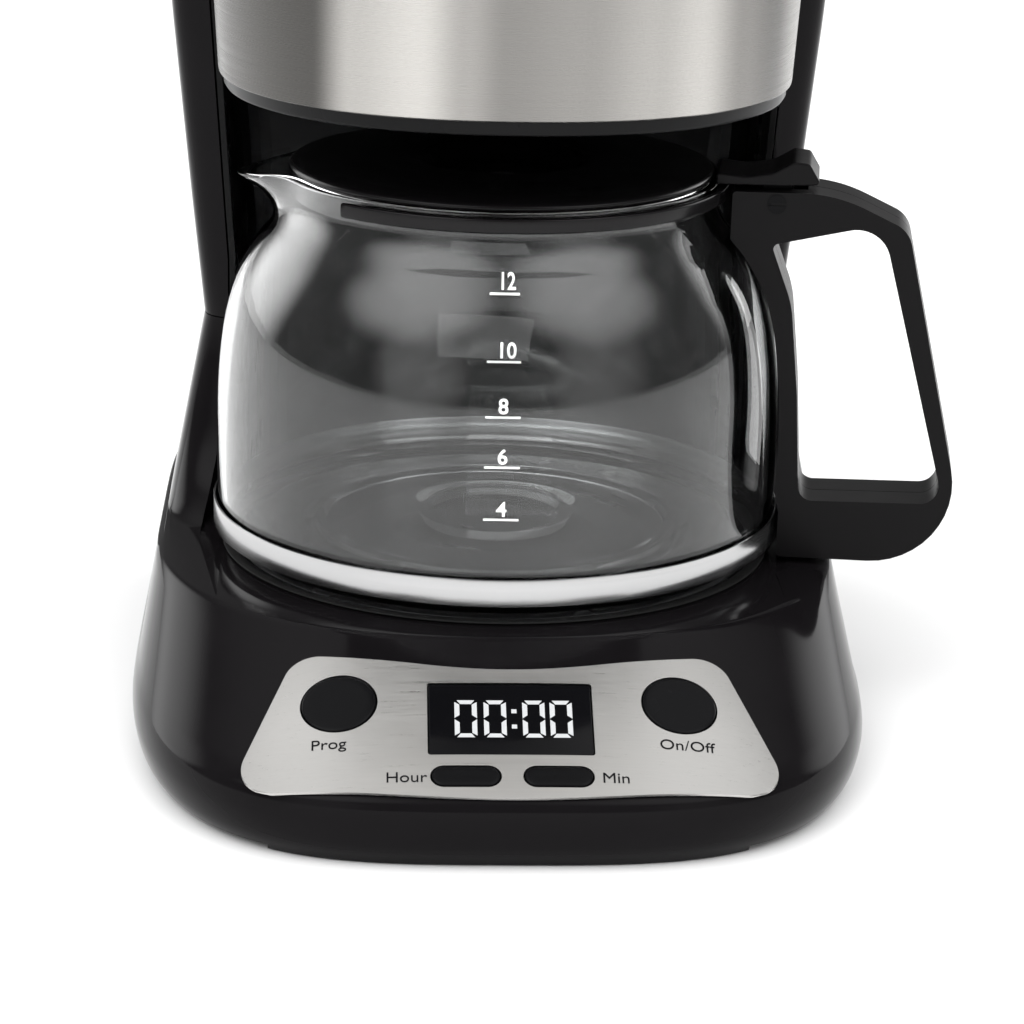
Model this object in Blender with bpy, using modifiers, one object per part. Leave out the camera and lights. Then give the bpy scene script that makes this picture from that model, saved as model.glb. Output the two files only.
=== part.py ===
"""Drip coffee maker: a glass carafe on a hot plate, under a swing-out brew head.

Lengths in this file are millimetres, and MM turns them into Blender's metres.
The carafe's axis is x = 0, y = 0 while a shape is made, the front faces -Y, and z = 0 is the table.
Every body hangs on an empty: the fixed one at FRAME, a moving one on its joint's axis.
"""
import math

import bmesh
import bpy
from mathutils import Matrix, Vector

MM = 0.001

# Where the carafe's axis stands, so that the whole machine is centred on the origin
FRAME = Vector((-12.905, 1.6, 0.0))

# Fits
GAP = 0.35
SKIN = 2.5
RING_POINTS = 64

# Base and column
DECK_Z = 44.2
WAIST_Z = 98.0
COLUMN_TOP_Z = 316.5
REAR_Y = 130.0
SLOPE_FOOT_Z = 19.0
BAY_BACK_Y = 84.0
BAY_RIM_R = 82.0
PLATE_R = 72.0
PLATE_TOP_Z = 45.2

# Control panel, measured along the slope of the front
PANEL_TILT = math.radians(27.2)
PANEL_FOOT = Vector((0.0, -132.6, SLOPE_FOOT_Z))
PANEL_SHEET = 0.8
BUTTON_TRAVEL = 1.2
WELL_DEPTH = 1.7
STEM_END = -9.0
ROUND_BUTTON = (42.6, 32.2, 9.4)
OVAL_BUTTON = (11.4, 6.9, 8.4, 3.1)
DISPLAY_S = 25.9
DISPLAY_SIZE = (41.4, 24.0)

# Carafe
CARAFE_Z = 45.5
CARAFE_R = 77.0
GLASS = 2.2
NECK_R = 58.5
RIM_Z = 148.5
BAND_Z = (50.0, 57.4)
HANDLE_TURN = math.radians(-8.0)
HANDLE_HALF = 11.0
HANDLE_SLOT = 5.5
LID_PIVOT = (74.4, 144.2)
PIN_R = 1.6

# Brew head
HEAD_BOTTOM_Z = 176.0
HEAD_TOP_Z = 295.0
HEAD_REAR_Y = 55.0
SWING_AXIS = (-66.5, 12.0)
BASKET_R = 48.0
VALVE_Z = 163.5
LID_HINGE = (127.4, 322.0)


def turned(rho, z=0.0, off=0.0):
    """A point of the carafe's handle plane: rho out from the axis, off towards the back."""
    cos, sin = math.cos(HANDLE_TURN), math.sin(HANDLE_TURN)
    return Vector((rho * cos - off * sin, rho * sin + off * cos, z))


BODY_PIVOTS = {
    "machine": Vector((0.0, 0.0, 0.0)),
    "top_lid_body": Vector((0.0, LID_HINGE[0], LID_HINGE[1])),
    "brew_unit": Vector((SWING_AXIS[0], SWING_AXIS[1], 0.0)),
    "drip_stop": Vector((0.0, 0.0, VALVE_Z)),
    "carafe": Vector((0.0, 0.0, CARAFE_Z)),
    "carafe_lid_body": turned(*LID_PIVOT),
}


def clear_scene():
    for obj in list(bpy.data.objects):
        bpy.data.objects.remove(obj, do_unlink=True)


def new_collection(name):
    collection = bpy.data.collections.new(name)
    bpy.context.scene.collection.children.link(collection)
    return collection


clear_scene()
PARTS = new_collection("drip_coffee_maker")
CUTTERS = new_collection("cutters")
EMPTIES = {}


def body_empty(body):
    """The empty that carries a body, on the body's joint axis."""
    if body not in EMPTIES:
        empty = bpy.data.objects.new(body + "_frame", None)
        PARTS.objects.link(empty)
        empty.location = (FRAME + BODY_PIVOTS[body]) * MM
        EMPTIES[body] = empty
    return EMPTIES[body]


def material(name, colour, roughness, metallic=0.0, alpha=1.0):
    found = bpy.data.materials.get(name)
    if found:
        return found
    made = bpy.data.materials.new(name)
    made.use_nodes = True
    shader = made.node_tree.nodes["Principled BSDF"]
    shader.inputs["Base Color"].default_value = (*colour, 1.0)
    shader.inputs["Roughness"].default_value = roughness
    shader.inputs["Metallic"].default_value = metallic
    shader.inputs["Alpha"].default_value = alpha
    return made


GLOSS_BLACK = ("gloss_black", (0.012, 0.010, 0.012), 0.12)
MATTE_BLACK = ("matte_black", (0.016, 0.017, 0.016), 0.45)
BRUSHED = ("brushed_steel", (0.62, 0.61, 0.59), 0.32, 1.0)
PLATE_GREY = ("plate_coating", (0.03, 0.03, 0.032), 0.35)
RUBBER = ("rubber", (0.02, 0.02, 0.02), 0.8)
CLEAR = ("glass", (0.9, 0.92, 0.92), 0.03, 0.0, 0.35)
ALUMINIUM = ("aluminium", (0.75, 0.75, 0.76), 0.35, 1.0)
STEEL = ("plain_steel", (0.55, 0.55, 0.55), 0.3, 1.0)
SILICONE = ("silicone", (0.8, 0.8, 0.78), 0.5)
BOARD = ("circuit_board", (0.02, 0.12, 0.05), 0.5)
TANK = ("tank_plastic", (0.25, 0.26, 0.27), 0.3)


def place(obj, body, finish, at=(0.0, 0.0, 0.0), turn=None):
    """Hang an object on its body's empty, with its material and its place in the machine."""
    for collection in list(obj.users_collection):
        collection.objects.unlink(obj)
    PARTS.objects.link(obj)
    obj.data.materials.clear()
    obj.data.materials.append(material(obj.name + "_" + finish[0], *finish[1:]))
    obj.parent = body_empty(body)
    obj.location = (Vector(at) - BODY_PIVOTS[body]) * MM
    if turn is not None:
        obj.rotation_mode = "QUATERNION"
        obj.rotation_quaternion = turn
    return obj


def as_cutter(obj, at=(0.0, 0.0, 0.0), turn=None):
    """Hang a cutter in the machine's frame, where no render and no build reads it."""
    for collection in list(obj.users_collection):
        collection.objects.unlink(obj)
    CUTTERS.objects.link(obj)
    obj.hide_render = True
    obj.display_type = "WIRE"
    obj.parent = body_empty("machine")
    obj.location = Vector(at) * MM
    if turn is not None:
        obj.rotation_mode = "QUATERNION"
        obj.rotation_quaternion = turn
    return obj


def boolean(obj, other, operation="DIFFERENCE"):
    step = obj.modifiers.new(operation.lower() + "_" + other.name, "BOOLEAN")
    step.operation = operation
    step.object = other
    step.solver = "EXACT"
    return obj


def object_from(bm, name):
    mesh = bpy.data.meshes.new(name)
    bm.to_mesh(mesh)
    bm.free()
    obj = bpy.data.objects.new(name, mesh)
    bpy.context.scene.collection.objects.link(obj)
    return obj


def loft(name, rings):
    """A closed solid through rings of equal length, capped at both ends."""
    bm = bmesh.new()
    rows = [[bm.verts.new(Vector(point) * MM) for point in ring] for ring in rings]
    for low, high in zip(rows, rows[1:]):
        for i in range(len(low)):
            j = (i + 1) % len(low)
            bm.faces.new((low[i], low[j], high[j], high[i]))
    bm.faces.new(list(reversed(rows[0])))
    bm.faces.new(rows[-1])
    bmesh.ops.recalc_face_normals(bm, faces=bm.faces)
    obj = object_from(bm, name)
    obj.data.shade_smooth()
    obj.data.set_sharp_from_angle(angle=math.radians(35.0))
    return obj


def sheet(name, rows, thickness):
    """An open grid of points thickened by Solidify, away from the side its normals leave."""
    bm = bmesh.new()
    grid = [[bm.verts.new(Vector(point) * MM) for point in row] for row in rows]
    for low, high in zip(grid, grid[1:]):
        for i in range(len(low) - 1):
            bm.faces.new((low[i], low[i + 1], high[i + 1], high[i]))
    obj = object_from(bm, name)
    wall = obj.modifiers.new("wall", "SOLIDIFY")
    wall.thickness = thickness * MM
    wall.offset = -1.0
    return obj


def lathe(name, profile, steps=48, ring=False):
    """A turned shape. The profile, (radius, z) points, runs down the outer side from top to bottom."""
    bm = bmesh.new()
    verts = [bm.verts.new((radius * MM, 0.0, z * MM)) for radius, z in profile]
    for start, end in zip(verts, verts[1:]):
        bm.edges.new((start, end))
    if ring:
        bm.edges.new((verts[-1], verts[0]))
    obj = object_from(bm, name)
    screw = obj.modifiers.new("turn", "SCREW")
    screw.axis = "Z"
    screw.angle = math.tau
    screw.steps = steps
    screw.render_steps = steps
    screw.use_merge_vertices = True
    screw.merge_threshold = 0.00001
    screw.use_smooth_shade = True
    return obj


def box(name, low, high):
    low, high = Vector(low), Vector(high)
    bpy.ops.mesh.primitive_cube_add(size=1.0)
    obj = bpy.context.active_object
    obj.name = name
    size = (high - low) * MM
    obj.data.transform(Matrix.Translation((low + high) * 0.5 * MM) @ Matrix.Diagonal((*size, 1.0)))
    return obj


def cylinder(name, radius, start, end, vertices=32):
    """A cylinder between two points."""
    start, end = Vector(start), Vector(end)
    span = end - start
    bpy.ops.mesh.primitive_cylinder_add(vertices=vertices, radius=radius * MM, depth=span.length * MM)
    obj = bpy.context.active_object
    obj.name = name
    turn = span.to_track_quat("Z", "Y").to_matrix().to_4x4()
    obj.data.transform(Matrix.Translation((start + end) * 0.5 * MM) @ turn)
    obj.data.shade_smooth()
    obj.data.set_sharp_from_angle(angle=math.radians(35.0))
    return obj


def tube(name, points, radius, ready=False):
    """A round rod or hose through the points, on a smooth route unless they already follow their curve."""
    curve = bpy.data.curves.new(name, "CURVE")
    curve.dimensions = "3D"
    curve.bevel_depth = radius * MM
    curve.bevel_resolution = 2
    curve.use_fill_caps = True
    route = curve.splines.new("POLY")
    smooth = [Vector(point) for point in points]
    if not ready:
        smooth = smooth_route(smooth)
    route.points.add(len(smooth) - 1)
    for target, point in zip(route.points, smooth):
        target.co = (*(point * MM), 1.0)
    obj = bpy.data.objects.new(name, curve)
    bpy.context.scene.collection.objects.link(obj)
    return obj


def smooth_route(points, per_span=3):
    """Points on a Catmull-Rom curve through the given ones."""
    ends = [points[0] * 2 - points[1]] + points + [points[-1] * 2 - points[-2]]
    route = []
    for before, start, end, after in zip(ends, ends[1:], ends[2:], ends[3:]):
        for step in range(per_span):
            t = step / per_span
            route.append(0.5 * (
                2 * start + (end - before) * t
                + (2 * before - 5 * start + 4 * end - after) * t * t
                + (3 * start - before - 3 * end + after) * t * t * t))
    return route + [points[-1]]


def flat_outline(name, outlines, low, high):
    """A mesh plate between two heights, from closed outlines in its own XY plane. Later ones are holes."""
    curve = bpy.data.curves.new(name + "_outline", "CURVE")
    curve.dimensions = "2D"
    curve.fill_mode = "BOTH"
    curve.extrude = (high - low) * 0.5 * MM
    for outline in outlines:
        spline = curve.splines.new("POLY")
        spline.points.add(len(outline) - 1)
        spline.use_cyclic_u = True
        for target, (x, y) in zip(spline.points, outline):
            target.co = (x * MM, y * MM, 0.0, 1.0)
    guide = bpy.data.objects.new(name + "_outline", curve)
    bpy.context.scene.collection.objects.link(guide)
    bpy.context.view_layer.update()
    graph = bpy.context.evaluated_depsgraph_get()
    mesh = bpy.data.meshes.new_from_object(guide.evaluated_get(graph))
    bpy.data.objects.remove(guide, do_unlink=True)
    bm = bmesh.new()
    bm.from_mesh(mesh)
    bmesh.ops.remove_doubles(bm, verts=bm.verts, dist=0.000001)
    bmesh.ops.translate(bm, verts=bm.verts, vec=(0.0, 0.0, (low + high) * 0.5 * MM))
    bmesh.ops.recalc_face_normals(bm, faces=bm.faces)
    return object_from(bm, name)


def arc(centre, radius, start, end, steps):
    """Points of an arc in a plane, angles in degrees."""
    angles = [math.radians(start + (end - start) * i / steps) for i in range(steps + 1)]
    return [(centre[0] + radius * math.cos(a), centre[1] + radius * math.sin(a)) for a in angles]


def rounded(corners, steps=5):
    """A closed outline from (x, y, radius) corners."""
    outline = []
    count = len(corners)
    for i, (x, y, radius) in enumerate(corners):
        here = Vector((x, y))
        back = (Vector(corners[i - 1][:2]) - here).normalized()
        ahead = (Vector(corners[(i + 1) % count][:2]) - here).normalized()
        half = back.angle(ahead) * 0.5
        reach = radius / math.tan(half)
        centre = here + (back + ahead).normalized() * radius / math.sin(half)
        start = here + back * reach - centre
        end = here + ahead * reach - centre
        sweep = start.angle_signed(end)
        for step in range(steps + 1):
            point = centre + Matrix.Rotation(-sweep * step / steps, 2) @ start
            outline.append((point.x, point.y))
    return outline


def signed_power(value, power):
    return math.copysign(abs(value) ** power, value)


def oval(z, half_width, middle, front, rear, front_power, rear_power, inset=0.0, count=RING_POINTS):
    """A closed plan outline: a superellipse forward of its widest line, and another behind it."""
    half_width -= inset
    points = []
    for i in range(count):
        angle = math.tau * i / count
        across, along = math.sin(angle), math.cos(angle)
        power = 2.0 / (front_power if along > 0 else rear_power)
        reach = (middle - front if along > 0 else rear - middle) - inset
        points.append((half_width * signed_power(across, power),
                       middle - reach * signed_power(along, power), z))
    return points


def blend(low, high, t):
    return [tuple(a + (b - a) * t for a, b in zip(p, q)) for p, q in zip(low, high)]


def table_value(table, z):
    """Straight-line reading of a list of (z, value) pairs."""
    for (z0, v0), (z1, v1) in zip(table, table[1:]):
        if z <= z1:
            return v0 + (v1 - v0) * max(z - z0, 0.0) / (z1 - z0)
    return table[-1][1]


COLUMN_HALF_WIDTHS = [(44.0, 92.6), (WAIST_Z, 82.4), (130.0, 85.8), (186.0, 91.2), (240.0, 95.2),
                      (290.0, 97.6), (COLUMN_TOP_Z, 98.2)]
BAY_HALF_WIDTHS = [(115.0, 75.3), (173.0, 79.2), (240.0, 83.6), (COLUMN_TOP_Z, 88.2)]


def column_ring(z, front, inset=0.0):
    """The column's outline: almost straight sides, soft front corners, a rounded back."""
    return oval(z, table_value(COLUMN_HALF_WIDTHS, z), 50.0, front, REAR_Y, 5.0, 5.0, inset)


# Skirt outlines: z, half width, front
SKIRT = [(0.4, 95.0, -128.6), (5.2, 98.4, -132.2), (12.0, 99.6, -133.8), (17.6, 98.4, -133.6)]
SKIRT_POWER = 3.3
SHOULDER_POWER = 2.5


def skirt_ring(z, half_width, front, inset=0.0):
    return oval(z, half_width, 10.0, front, REAR_Y, SKIRT_POWER, 6.0, inset)


def slope_ring(t, inset=0.0):
    """The outline a fraction t of the way up the sloping front."""
    foot = skirt_ring(SLOPE_FOOT_Z - inset * 0.4, 97.8, PANEL_FOOT.y, inset)
    top = oval(DECK_Z - 1.0 - inset, 93.8, 10.0, -85.5, REAR_Y, SHOULDER_POWER, 6.0, inset)
    return blend(foot, top, t)


SLOPE_STEPS = [0.0, 0.25, 0.5, 0.75, 1.0]
SKIRT_STEPS = [((-120, -96, -5), (120, 140, 2.2)), ((-120, -150, -5), (-60, -90, 2.2)), ((60, -150, -5), (120, -90, 2.2))]


def slope_point(t, angle):
    """A point of the sloping front, at a fraction of its height and an angle from straight ahead."""
    across, along = math.sin(angle), math.cos(angle)
    foot = Vector((97.8 * signed_power(across, 2 / SKIRT_POWER),
                   10.0 - (10.0 - PANEL_FOOT.y) * signed_power(along, 2 / SKIRT_POWER), SLOPE_FOOT_Z))
    top = Vector((93.8 * signed_power(across, 2 / SHOULDER_POWER),
                  10.0 - 95.5 * signed_power(along, 2 / SHOULDER_POWER), DECK_Z - 1.0))
    return foot.lerp(top, t)


def panel_spot(x, s):
    """The point of the slope x from the middle and s up the panel, and its outward normal."""
    up = Vector((0.0, math.cos(PANEL_TILT), math.sin(PANEL_TILT)))
    t = s / 54.0
    for _ in range(20):
        low, high = 0.0, math.pi / 2
        for _ in range(30):
            middle = (low + high) / 2
            if slope_point(t, middle).x < abs(x):
                low = middle
            else:
                high = middle
        point = slope_point(t, low)
        t += (s - (point - PANEL_FOOT).dot(up)) / 54.0
    along = slope_point(t + 0.02, low) - slope_point(t - 0.02, low)
    across = slope_point(t, low + 0.02) - slope_point(t, low - 0.02)
    normal = across.cross(along).normalized()
    if x < 0:
        point.x, normal.x = -point.x, -normal.x
    return point, normal


def panel_frame():
    """Rotation and origin of the plane that the panel's outline is drawn in."""
    return Matrix.Rotation(PANEL_TILT, 3, "X").to_quaternion(), PANEL_FOOT


def bay_cutter(name, low, high, bottom_rim):
    """The space that the carafe and the brew head stand in, between the two pillars."""
    levels = sorted({low, high, *(z for z, _ in BAY_HALF_WIDTHS if low < z < high)})
    rings = []
    for z in levels:
        half = table_value(BAY_HALF_WIDTHS, z)
        back = BAY_BACK_Y + 2.6
        rings.append([(x, y, z) for x, y in rounded(
            [(-half, -150.0, 1.0), (half, -150.0, 1.0), (half, back, 12.0), (-half, back, 12.0)])])
    cutter = as_cutter(loft(name, rings))
    if bottom_rim:
        rim = as_cutter(cylinder(name + "_rim", BAY_RIM_R, (0, 0, low + 0.01), (0, 0, high + 3), 48))
        boolean(cutter, rim, "UNION")
    return cutter


def base_housing():
    rings = [skirt_ring(*row) for row in SKIRT]
    rings += [slope_ring(t) for t in SLOPE_STEPS]
    rings.append(oval(DECK_Z, 92.2, 10.0, -83.2, REAR_Y, SHOULDER_POWER, 6.0))
    fronts = [(DECK_Z + 0.5, -6.0), (48.0, 6.0), (54.0, 15.0), (64.0, 22.0), (80.0, 26.5), (WAIST_Z, 28.0)]
    rings += [column_ring(z, front) for z, front in fronts]
    shell = loft("base_housing", rings)

    floor = [skirt_ring(z, half - 0.4, front, SKIN) for z, half, front in SKIRT]
    floor[0] = skirt_ring(-1.0, 95.4, -129.0, SKIN)
    floor += [slope_ring(0.0, SKIN), slope_ring(1.0, SKIN)]
    boolean(shell, as_cutter(loft("base_room", floor)))
    for low, high in SKIRT_STEPS:
        boolean(shell, as_cutter(box("skirt_step", low, high)))

    room = as_cutter(loft("tower_room", [column_ring(30.0, 33.0, SKIN),
                                         column_ring(70.0, 29.0, SKIN), column_ring(110.0, 29.0, SKIN)]))
    boolean(room, as_cutter(box("deck_keep", (-76.5, 0.0, 20.0), (76.5, 89.0, DECK_Z + 2.0))))
    boolean(shell, room)
    boolean(shell, bay_cutter("bay_low", DECK_Z, WAIST_Z + 10.0, True))
    boolean(shell, as_cutter(cylinder("plate_hole", PLATE_R + 1.6, (0, 0, 30), (0, 0, 60), 48)))

    turn, foot = panel_frame()
    half_x, half_s = DISPLAY_SIZE[0] / 2 - 1.0, DISPLAY_SIZE[1] / 2 - 1.0
    hole = box("display_hole", (-half_x, DISPLAY_S - half_s, -12.0), (half_x, DISPLAY_S + half_s, 6.0))
    boolean(shell, as_cutter(hole, foot, turn))
    for name, x, s, radius in button_spots():
        point, normal = panel_spot(x, s)
        hole = cylinder(name + "_hole", radius, point - normal * 8.0, point + normal * 5.0, 14)
        boolean(shell, as_cutter(hole))
        boolean(shell, as_cutter(button_solid(name + "_well", x, s, -WELL_DEPTH, 6.0, 0.4)))
    boolean(shell, as_cutter(cylinder("gland_hole", 6.4, (60, 110, 24), (60, 140, 24), 24)))
    place(shell, "machine", GLOSS_BLACK)


def button_spots():
    """Name, place on the panel, and radius of the stem hole of each button."""
    x, s, _ = ROUND_BUTTON
    u, v, _, _ = OVAL_BUTTON
    return [("prog_button", -x, s, 4.4), ("on_off_button", x, s, 4.4),
            ("hour_button", -u, v, 2.9), ("min_button", u, v, 2.9)]


def base_plate():
    """The bottom cover, with a pan that reaches below the skirt in the middle."""
    plate = loft("base_plate", [skirt_ring(z, 95.4, -129.0, SKIN + GAP) for z in (2.6, 4.6)])
    pan = as_cutter(flat_outline("base_pan", [rounded([
        (-55, -120.5, 8), (55, -120.5, 8), (55, 90, 8), (-55, 90, 8)])], 0.5, 3.5))
    boolean(plate, pan, "UNION")
    room = as_cutter(flat_outline("pan_room", [rounded([
        (-53, -117, 6), (53, -117, 6), (53, 88, 6), (-53, 88, 6)])], 1.9, 9.0))
    boolean(plate, room)
    place(plate, "machine", MATTE_BLACK)


def cord_gland():
    """The grommet in the rear of the base where a cord would leave."""
    gland = cylinder("cord_gland", 6.0, (60, 124.0, 24), (60, 130.5, 24), 20)
    boolean(gland, as_cutter(cylinder("gland_bore", 3.2, (60, 120, 24), (60, 134, 24), 16)))
    place(gland, "machine", RUBBER)


def feet():
    profile = [(0.0, 2.3), (6.6, 2.3), (6.6, 0.8), (5.6, 0.0), (0.0, 0.0)]
    for name, x, y in (("foot_front_left", -65.5, -98), ("foot_front_right", 65.5, -98),
                       ("foot_rear_left", -72.5, 100), ("foot_rear_right", 72.5, 100)):
        place(lathe(name, profile, 20), "machine", RUBBER, (x, y, 0.0))


def hot_plate_group():
    plate = [(0.0, PLATE_TOP_Z - 0.8), (66.0, PLATE_TOP_Z - 0.8), (67.5, PLATE_TOP_Z),
             (PLATE_R - 0.8, PLATE_TOP_Z), (PLATE_R, PLATE_TOP_Z - 1.0), (PLATE_R, 40.4),
             (PLATE_R - 1.2, 40.4), (PLATE_R - 1.2, PLATE_TOP_Z - 2.6), (0.0, PLATE_TOP_Z - 2.6)]
    place(lathe("hot_plate", plate, 48), "machine", PLATE_GREY)
    outer = PLATE_R + 3.6
    seal = [(outer, DECK_Z + 0.9), (outer, DECK_Z + 0.4), (PLATE_R + 1.2, DECK_Z + 0.4), (PLATE_R + 1.2, 40.4),
            (PLATE_R + 0.4, 40.4), (PLATE_R + 0.4, DECK_Z + 0.9)]
    place(lathe("plate_seal", seal, 40, ring=True), "machine", RUBBER)
    bend = [(17, 60, 36.8), (18.6, 54, 36.8), (34, 42, 36.8), (47, 16, 36.8), (42, -22, 36.8), (22, -42, 36.8)]
    route = bend + [(0, -48, 36.8)] + [(-x, y, z) for x, y, z in reversed(bend)]
    place(tube("heater_tube", route, 4.6), "machine", ALUMINIUM)
    place(cylinder("thermostat", 8.0, (0, 0, 36.0), (0, 0, 42.2), 24), "machine", STEEL)
    fuse = cylinder("thermal_fuse", 2.0, (-14, 24, 40.0), (14, 24, 40.0), 12)
    place(fuse, "machine", SILICONE)


def control_panel():
    """The brushed plate that lies on the slope, with its holes for the display and the buttons."""
    count = 12
    step = math.tau / RING_POINTS
    levels = [-0.06, 0.0, 0.25, 0.5, 0.75, 1.0]
    layers = []
    for lift in (0.45, 0.45 + PANEL_SHEET):
        rows = []
        for t in levels:
            row = []
            for i in range(-count, count + 1):
                angle = i * step
                point = slope_point(t, abs(angle))
                along = slope_point(t + 0.05, abs(angle)) - slope_point(t - 0.05, abs(angle))
                across = slope_point(t, abs(angle) + 0.03) - slope_point(t, abs(angle) - 0.03)
                normal = across.cross(along).normalized()
                point = point + normal * lift
                row.append((math.copysign(point.x, angle), point.y, point.z))
            rows.append(row)
        layers.append(rows)
    rings = [low + list(reversed(high)) for low, high in zip(*layers)]
    panel = loft("control_panel", rings)

    turn, foot = panel_frame()
    corners = [(-70.4, 5.4, 10), (0, -1.6, 300), (70.4, 5.4, 10), (54, 50.6, 8), (0, 40.3, 120), (-54, 50.6, 8)]
    window = as_cutter(flat_outline("panel_outline", [rounded(corners, 6)], -20.0, 14.0), foot, turn)
    boolean(panel, window, "INTERSECT")
    half_x, half_s = DISPLAY_SIZE[0] / 2, DISPLAY_SIZE[1] / 2
    boolean(panel, as_cutter(box("panel_display_hole", (-half_x, DISPLAY_S - half_s, -12.0),
                                 (half_x, DISPLAY_S + half_s, 12.0)), foot, turn))
    for name, x, s, _ in button_spots():
        boolean(panel, as_cutter(button_solid(name + "_window", x, s, -6.0, 6.0, 0.4)))
    place(panel, "machine", BRUSHED)


def button_solid(name, x, s, low, high, grow=0.0):
    """A round or long button's outline between two heights along its own axis."""
    point, normal = panel_spot(x, s)
    if "prog" in name or "on_off" in name:
        radius = ROUND_BUTTON[2] + grow
        outline = arc((0, 0), radius, 0, 360, 30)[:-1]
    else:
        half, radius = OVAL_BUTTON[2] + grow, OVAL_BUTTON[3] + grow
        outline = arc((half - radius, 0), radius, -90, 90, 7) + arc((radius - half, 0), radius, 90, 270, 7)
    body = flat_outline(name, [outline], low, high)
    across = Vector((1.0, 0.0, 0.0))
    across = (across - normal * across.dot(normal)).normalized()
    frame = Matrix((across, normal.cross(across), normal)).transposed().to_4x4()
    body.data.transform(Matrix.Translation(point * MM) @ frame)
    return body


def stem_depth(x, s):
    """How far a button's stem runs below the slope to end just over its switch."""
    turn, foot = panel_frame()
    point, normal = panel_spot(x, s)
    local = turn.inverted() @ (point - foot)
    slant = turn.inverted() @ normal
    return (local.z - STEM_END) / slant.z


def buttons():
    for name, x, s, hole in button_spots():
        point, normal = panel_spot(x, s)
        pivot = name + "_body"
        BODY_PIVOTS[pivot] = point
        cap = button_solid(name, x, s, -0.2, 1.6)
        stem = cylinder(name + "_stem", hole - 0.6, point - normal * stem_depth(x, s), point + normal * 0.8, 16)
        boolean(cap, as_cutter(stem), "UNION")
        place(cap, pivot, GLOSS_BLACK)


def display_group():
    turn, foot = panel_frame()
    half_x, half_s = DISPLAY_SIZE[0] / 2 - GAP, DISPLAY_SIZE[1] / 2 - GAP
    inner_x, inner_s = half_x - 1.1, half_s - 1.1
    window = box("display_window", (-half_x, DISPLAY_S - half_s, 0.4), (half_x, DISPLAY_S + half_s, 1.0))
    back = box("window_back", (-inner_x, DISPLAY_S - inner_s, -1.6), (inner_x, DISPLAY_S + inner_s, 0.7))
    boolean(window, as_cutter(back, foot, turn), "UNION")
    place(window, "machine", GLOSS_BLACK, foot, turn)
    module = box("display_module", (-inner_x, DISPLAY_S - inner_s, -5.2), (inner_x, DISPLAY_S + inner_s, -2.0))
    place(module, "machine", TANK, foot, turn)
    board = box("control_board", (-50.0, 3.0, STEM_END - 5.6), (50.0, 38.0, STEM_END - 4.0))
    place(board, "machine", BOARD, foot, turn)
    for name, x, s, hole in button_spots():
        point, normal = panel_spot(x, s)
        end = turn.inverted() @ (point - normal * stem_depth(x, s) - foot)
        switch = box(name.replace("button", "switch"), (end.x - 3, end.y - 3, STEM_END - 3.6),
                     (end.x + 3, end.y + 3, STEM_END - BUTTON_TRAVEL - 0.4))
        place(switch, "machine", STEEL, foot, turn)


def water_parts():
    outer = [(-70, 89.5, 8), (70, 89.5, 8), (70, 121.0, 12), (-70, 121.0, 12)]
    inner = [(-68, 91.5, 6), (68, 91.5, 6), (68, 119.0, 10), (-68, 119.0, 10)]
    tank = flat_outline("reservoir", [rounded(outer)], 66.0, 308.0)
    boolean(tank, as_cutter(flat_outline("reservoir_room", [rounded(inner)], 68.0, 320.0)))
    boolean(tank, as_cutter(cylinder("outlet_hole", 3.0, (-40, 108, 50), (-40, 108, 80), 16)))
    place(tank, "machine", TANK)
    valve = [(0.0, 65.6), (6.0, 65.6), (6.0, 60.0), (4.0, 59.0), (4.0, 52.0), (0.0, 52.0)]
    place(lathe("check_valve", valve, 20), "machine", SILICONE, (-40, 108, 0))
    cold = [(-40, 108, 51.2), (-40, 107.6, 45), (-36, 99, 38), (-27, 86, 36.8), (-19, 72, 36.8), (-17.2, 60.9, 36.8)]
    place(tube("cold_hose", cold, 3.4), "machine", SILICONE)
    hot = [(17.2, 60.9, 36.8), (19, 72, 36.8), (30, 88, 37), (50, 100, 38), (66, 104, 41.5), (73.8, 103.4, 48),
           (74.4, 103, 54)]
    place(tube("hot_hose", hot, 3.4), "machine", SILICONE)
    rise = [(74.4, 103, 55), (74.4, 102.6, 62), (74.4, 100, 80), (74.6, 97, 150), (76.0, 94, 230), (76.0, 92, 294),
            (73.0, 84, 305), (60.0, 68, 307.1), (36.0, 42.6, 307.1), (24.9, 29.6, 307.1)]
    place(tube("riser_tube", rise, 3.0), "machine", STEEL)
    spray = [(34.0, 311.0), (36.0, 309.0), (36.0, 304.4), (34.6, 303.0), (5.0, 303.0), (5.0, 305.0),
             (32.0, 305.0), (32.0, 309.2), (5.0, 309.2), (5.0, 311.0)]
    shower = lathe("shower_head", spray, 32, ring=True)
    place(shower, "machine", MATTE_BLACK)


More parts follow.
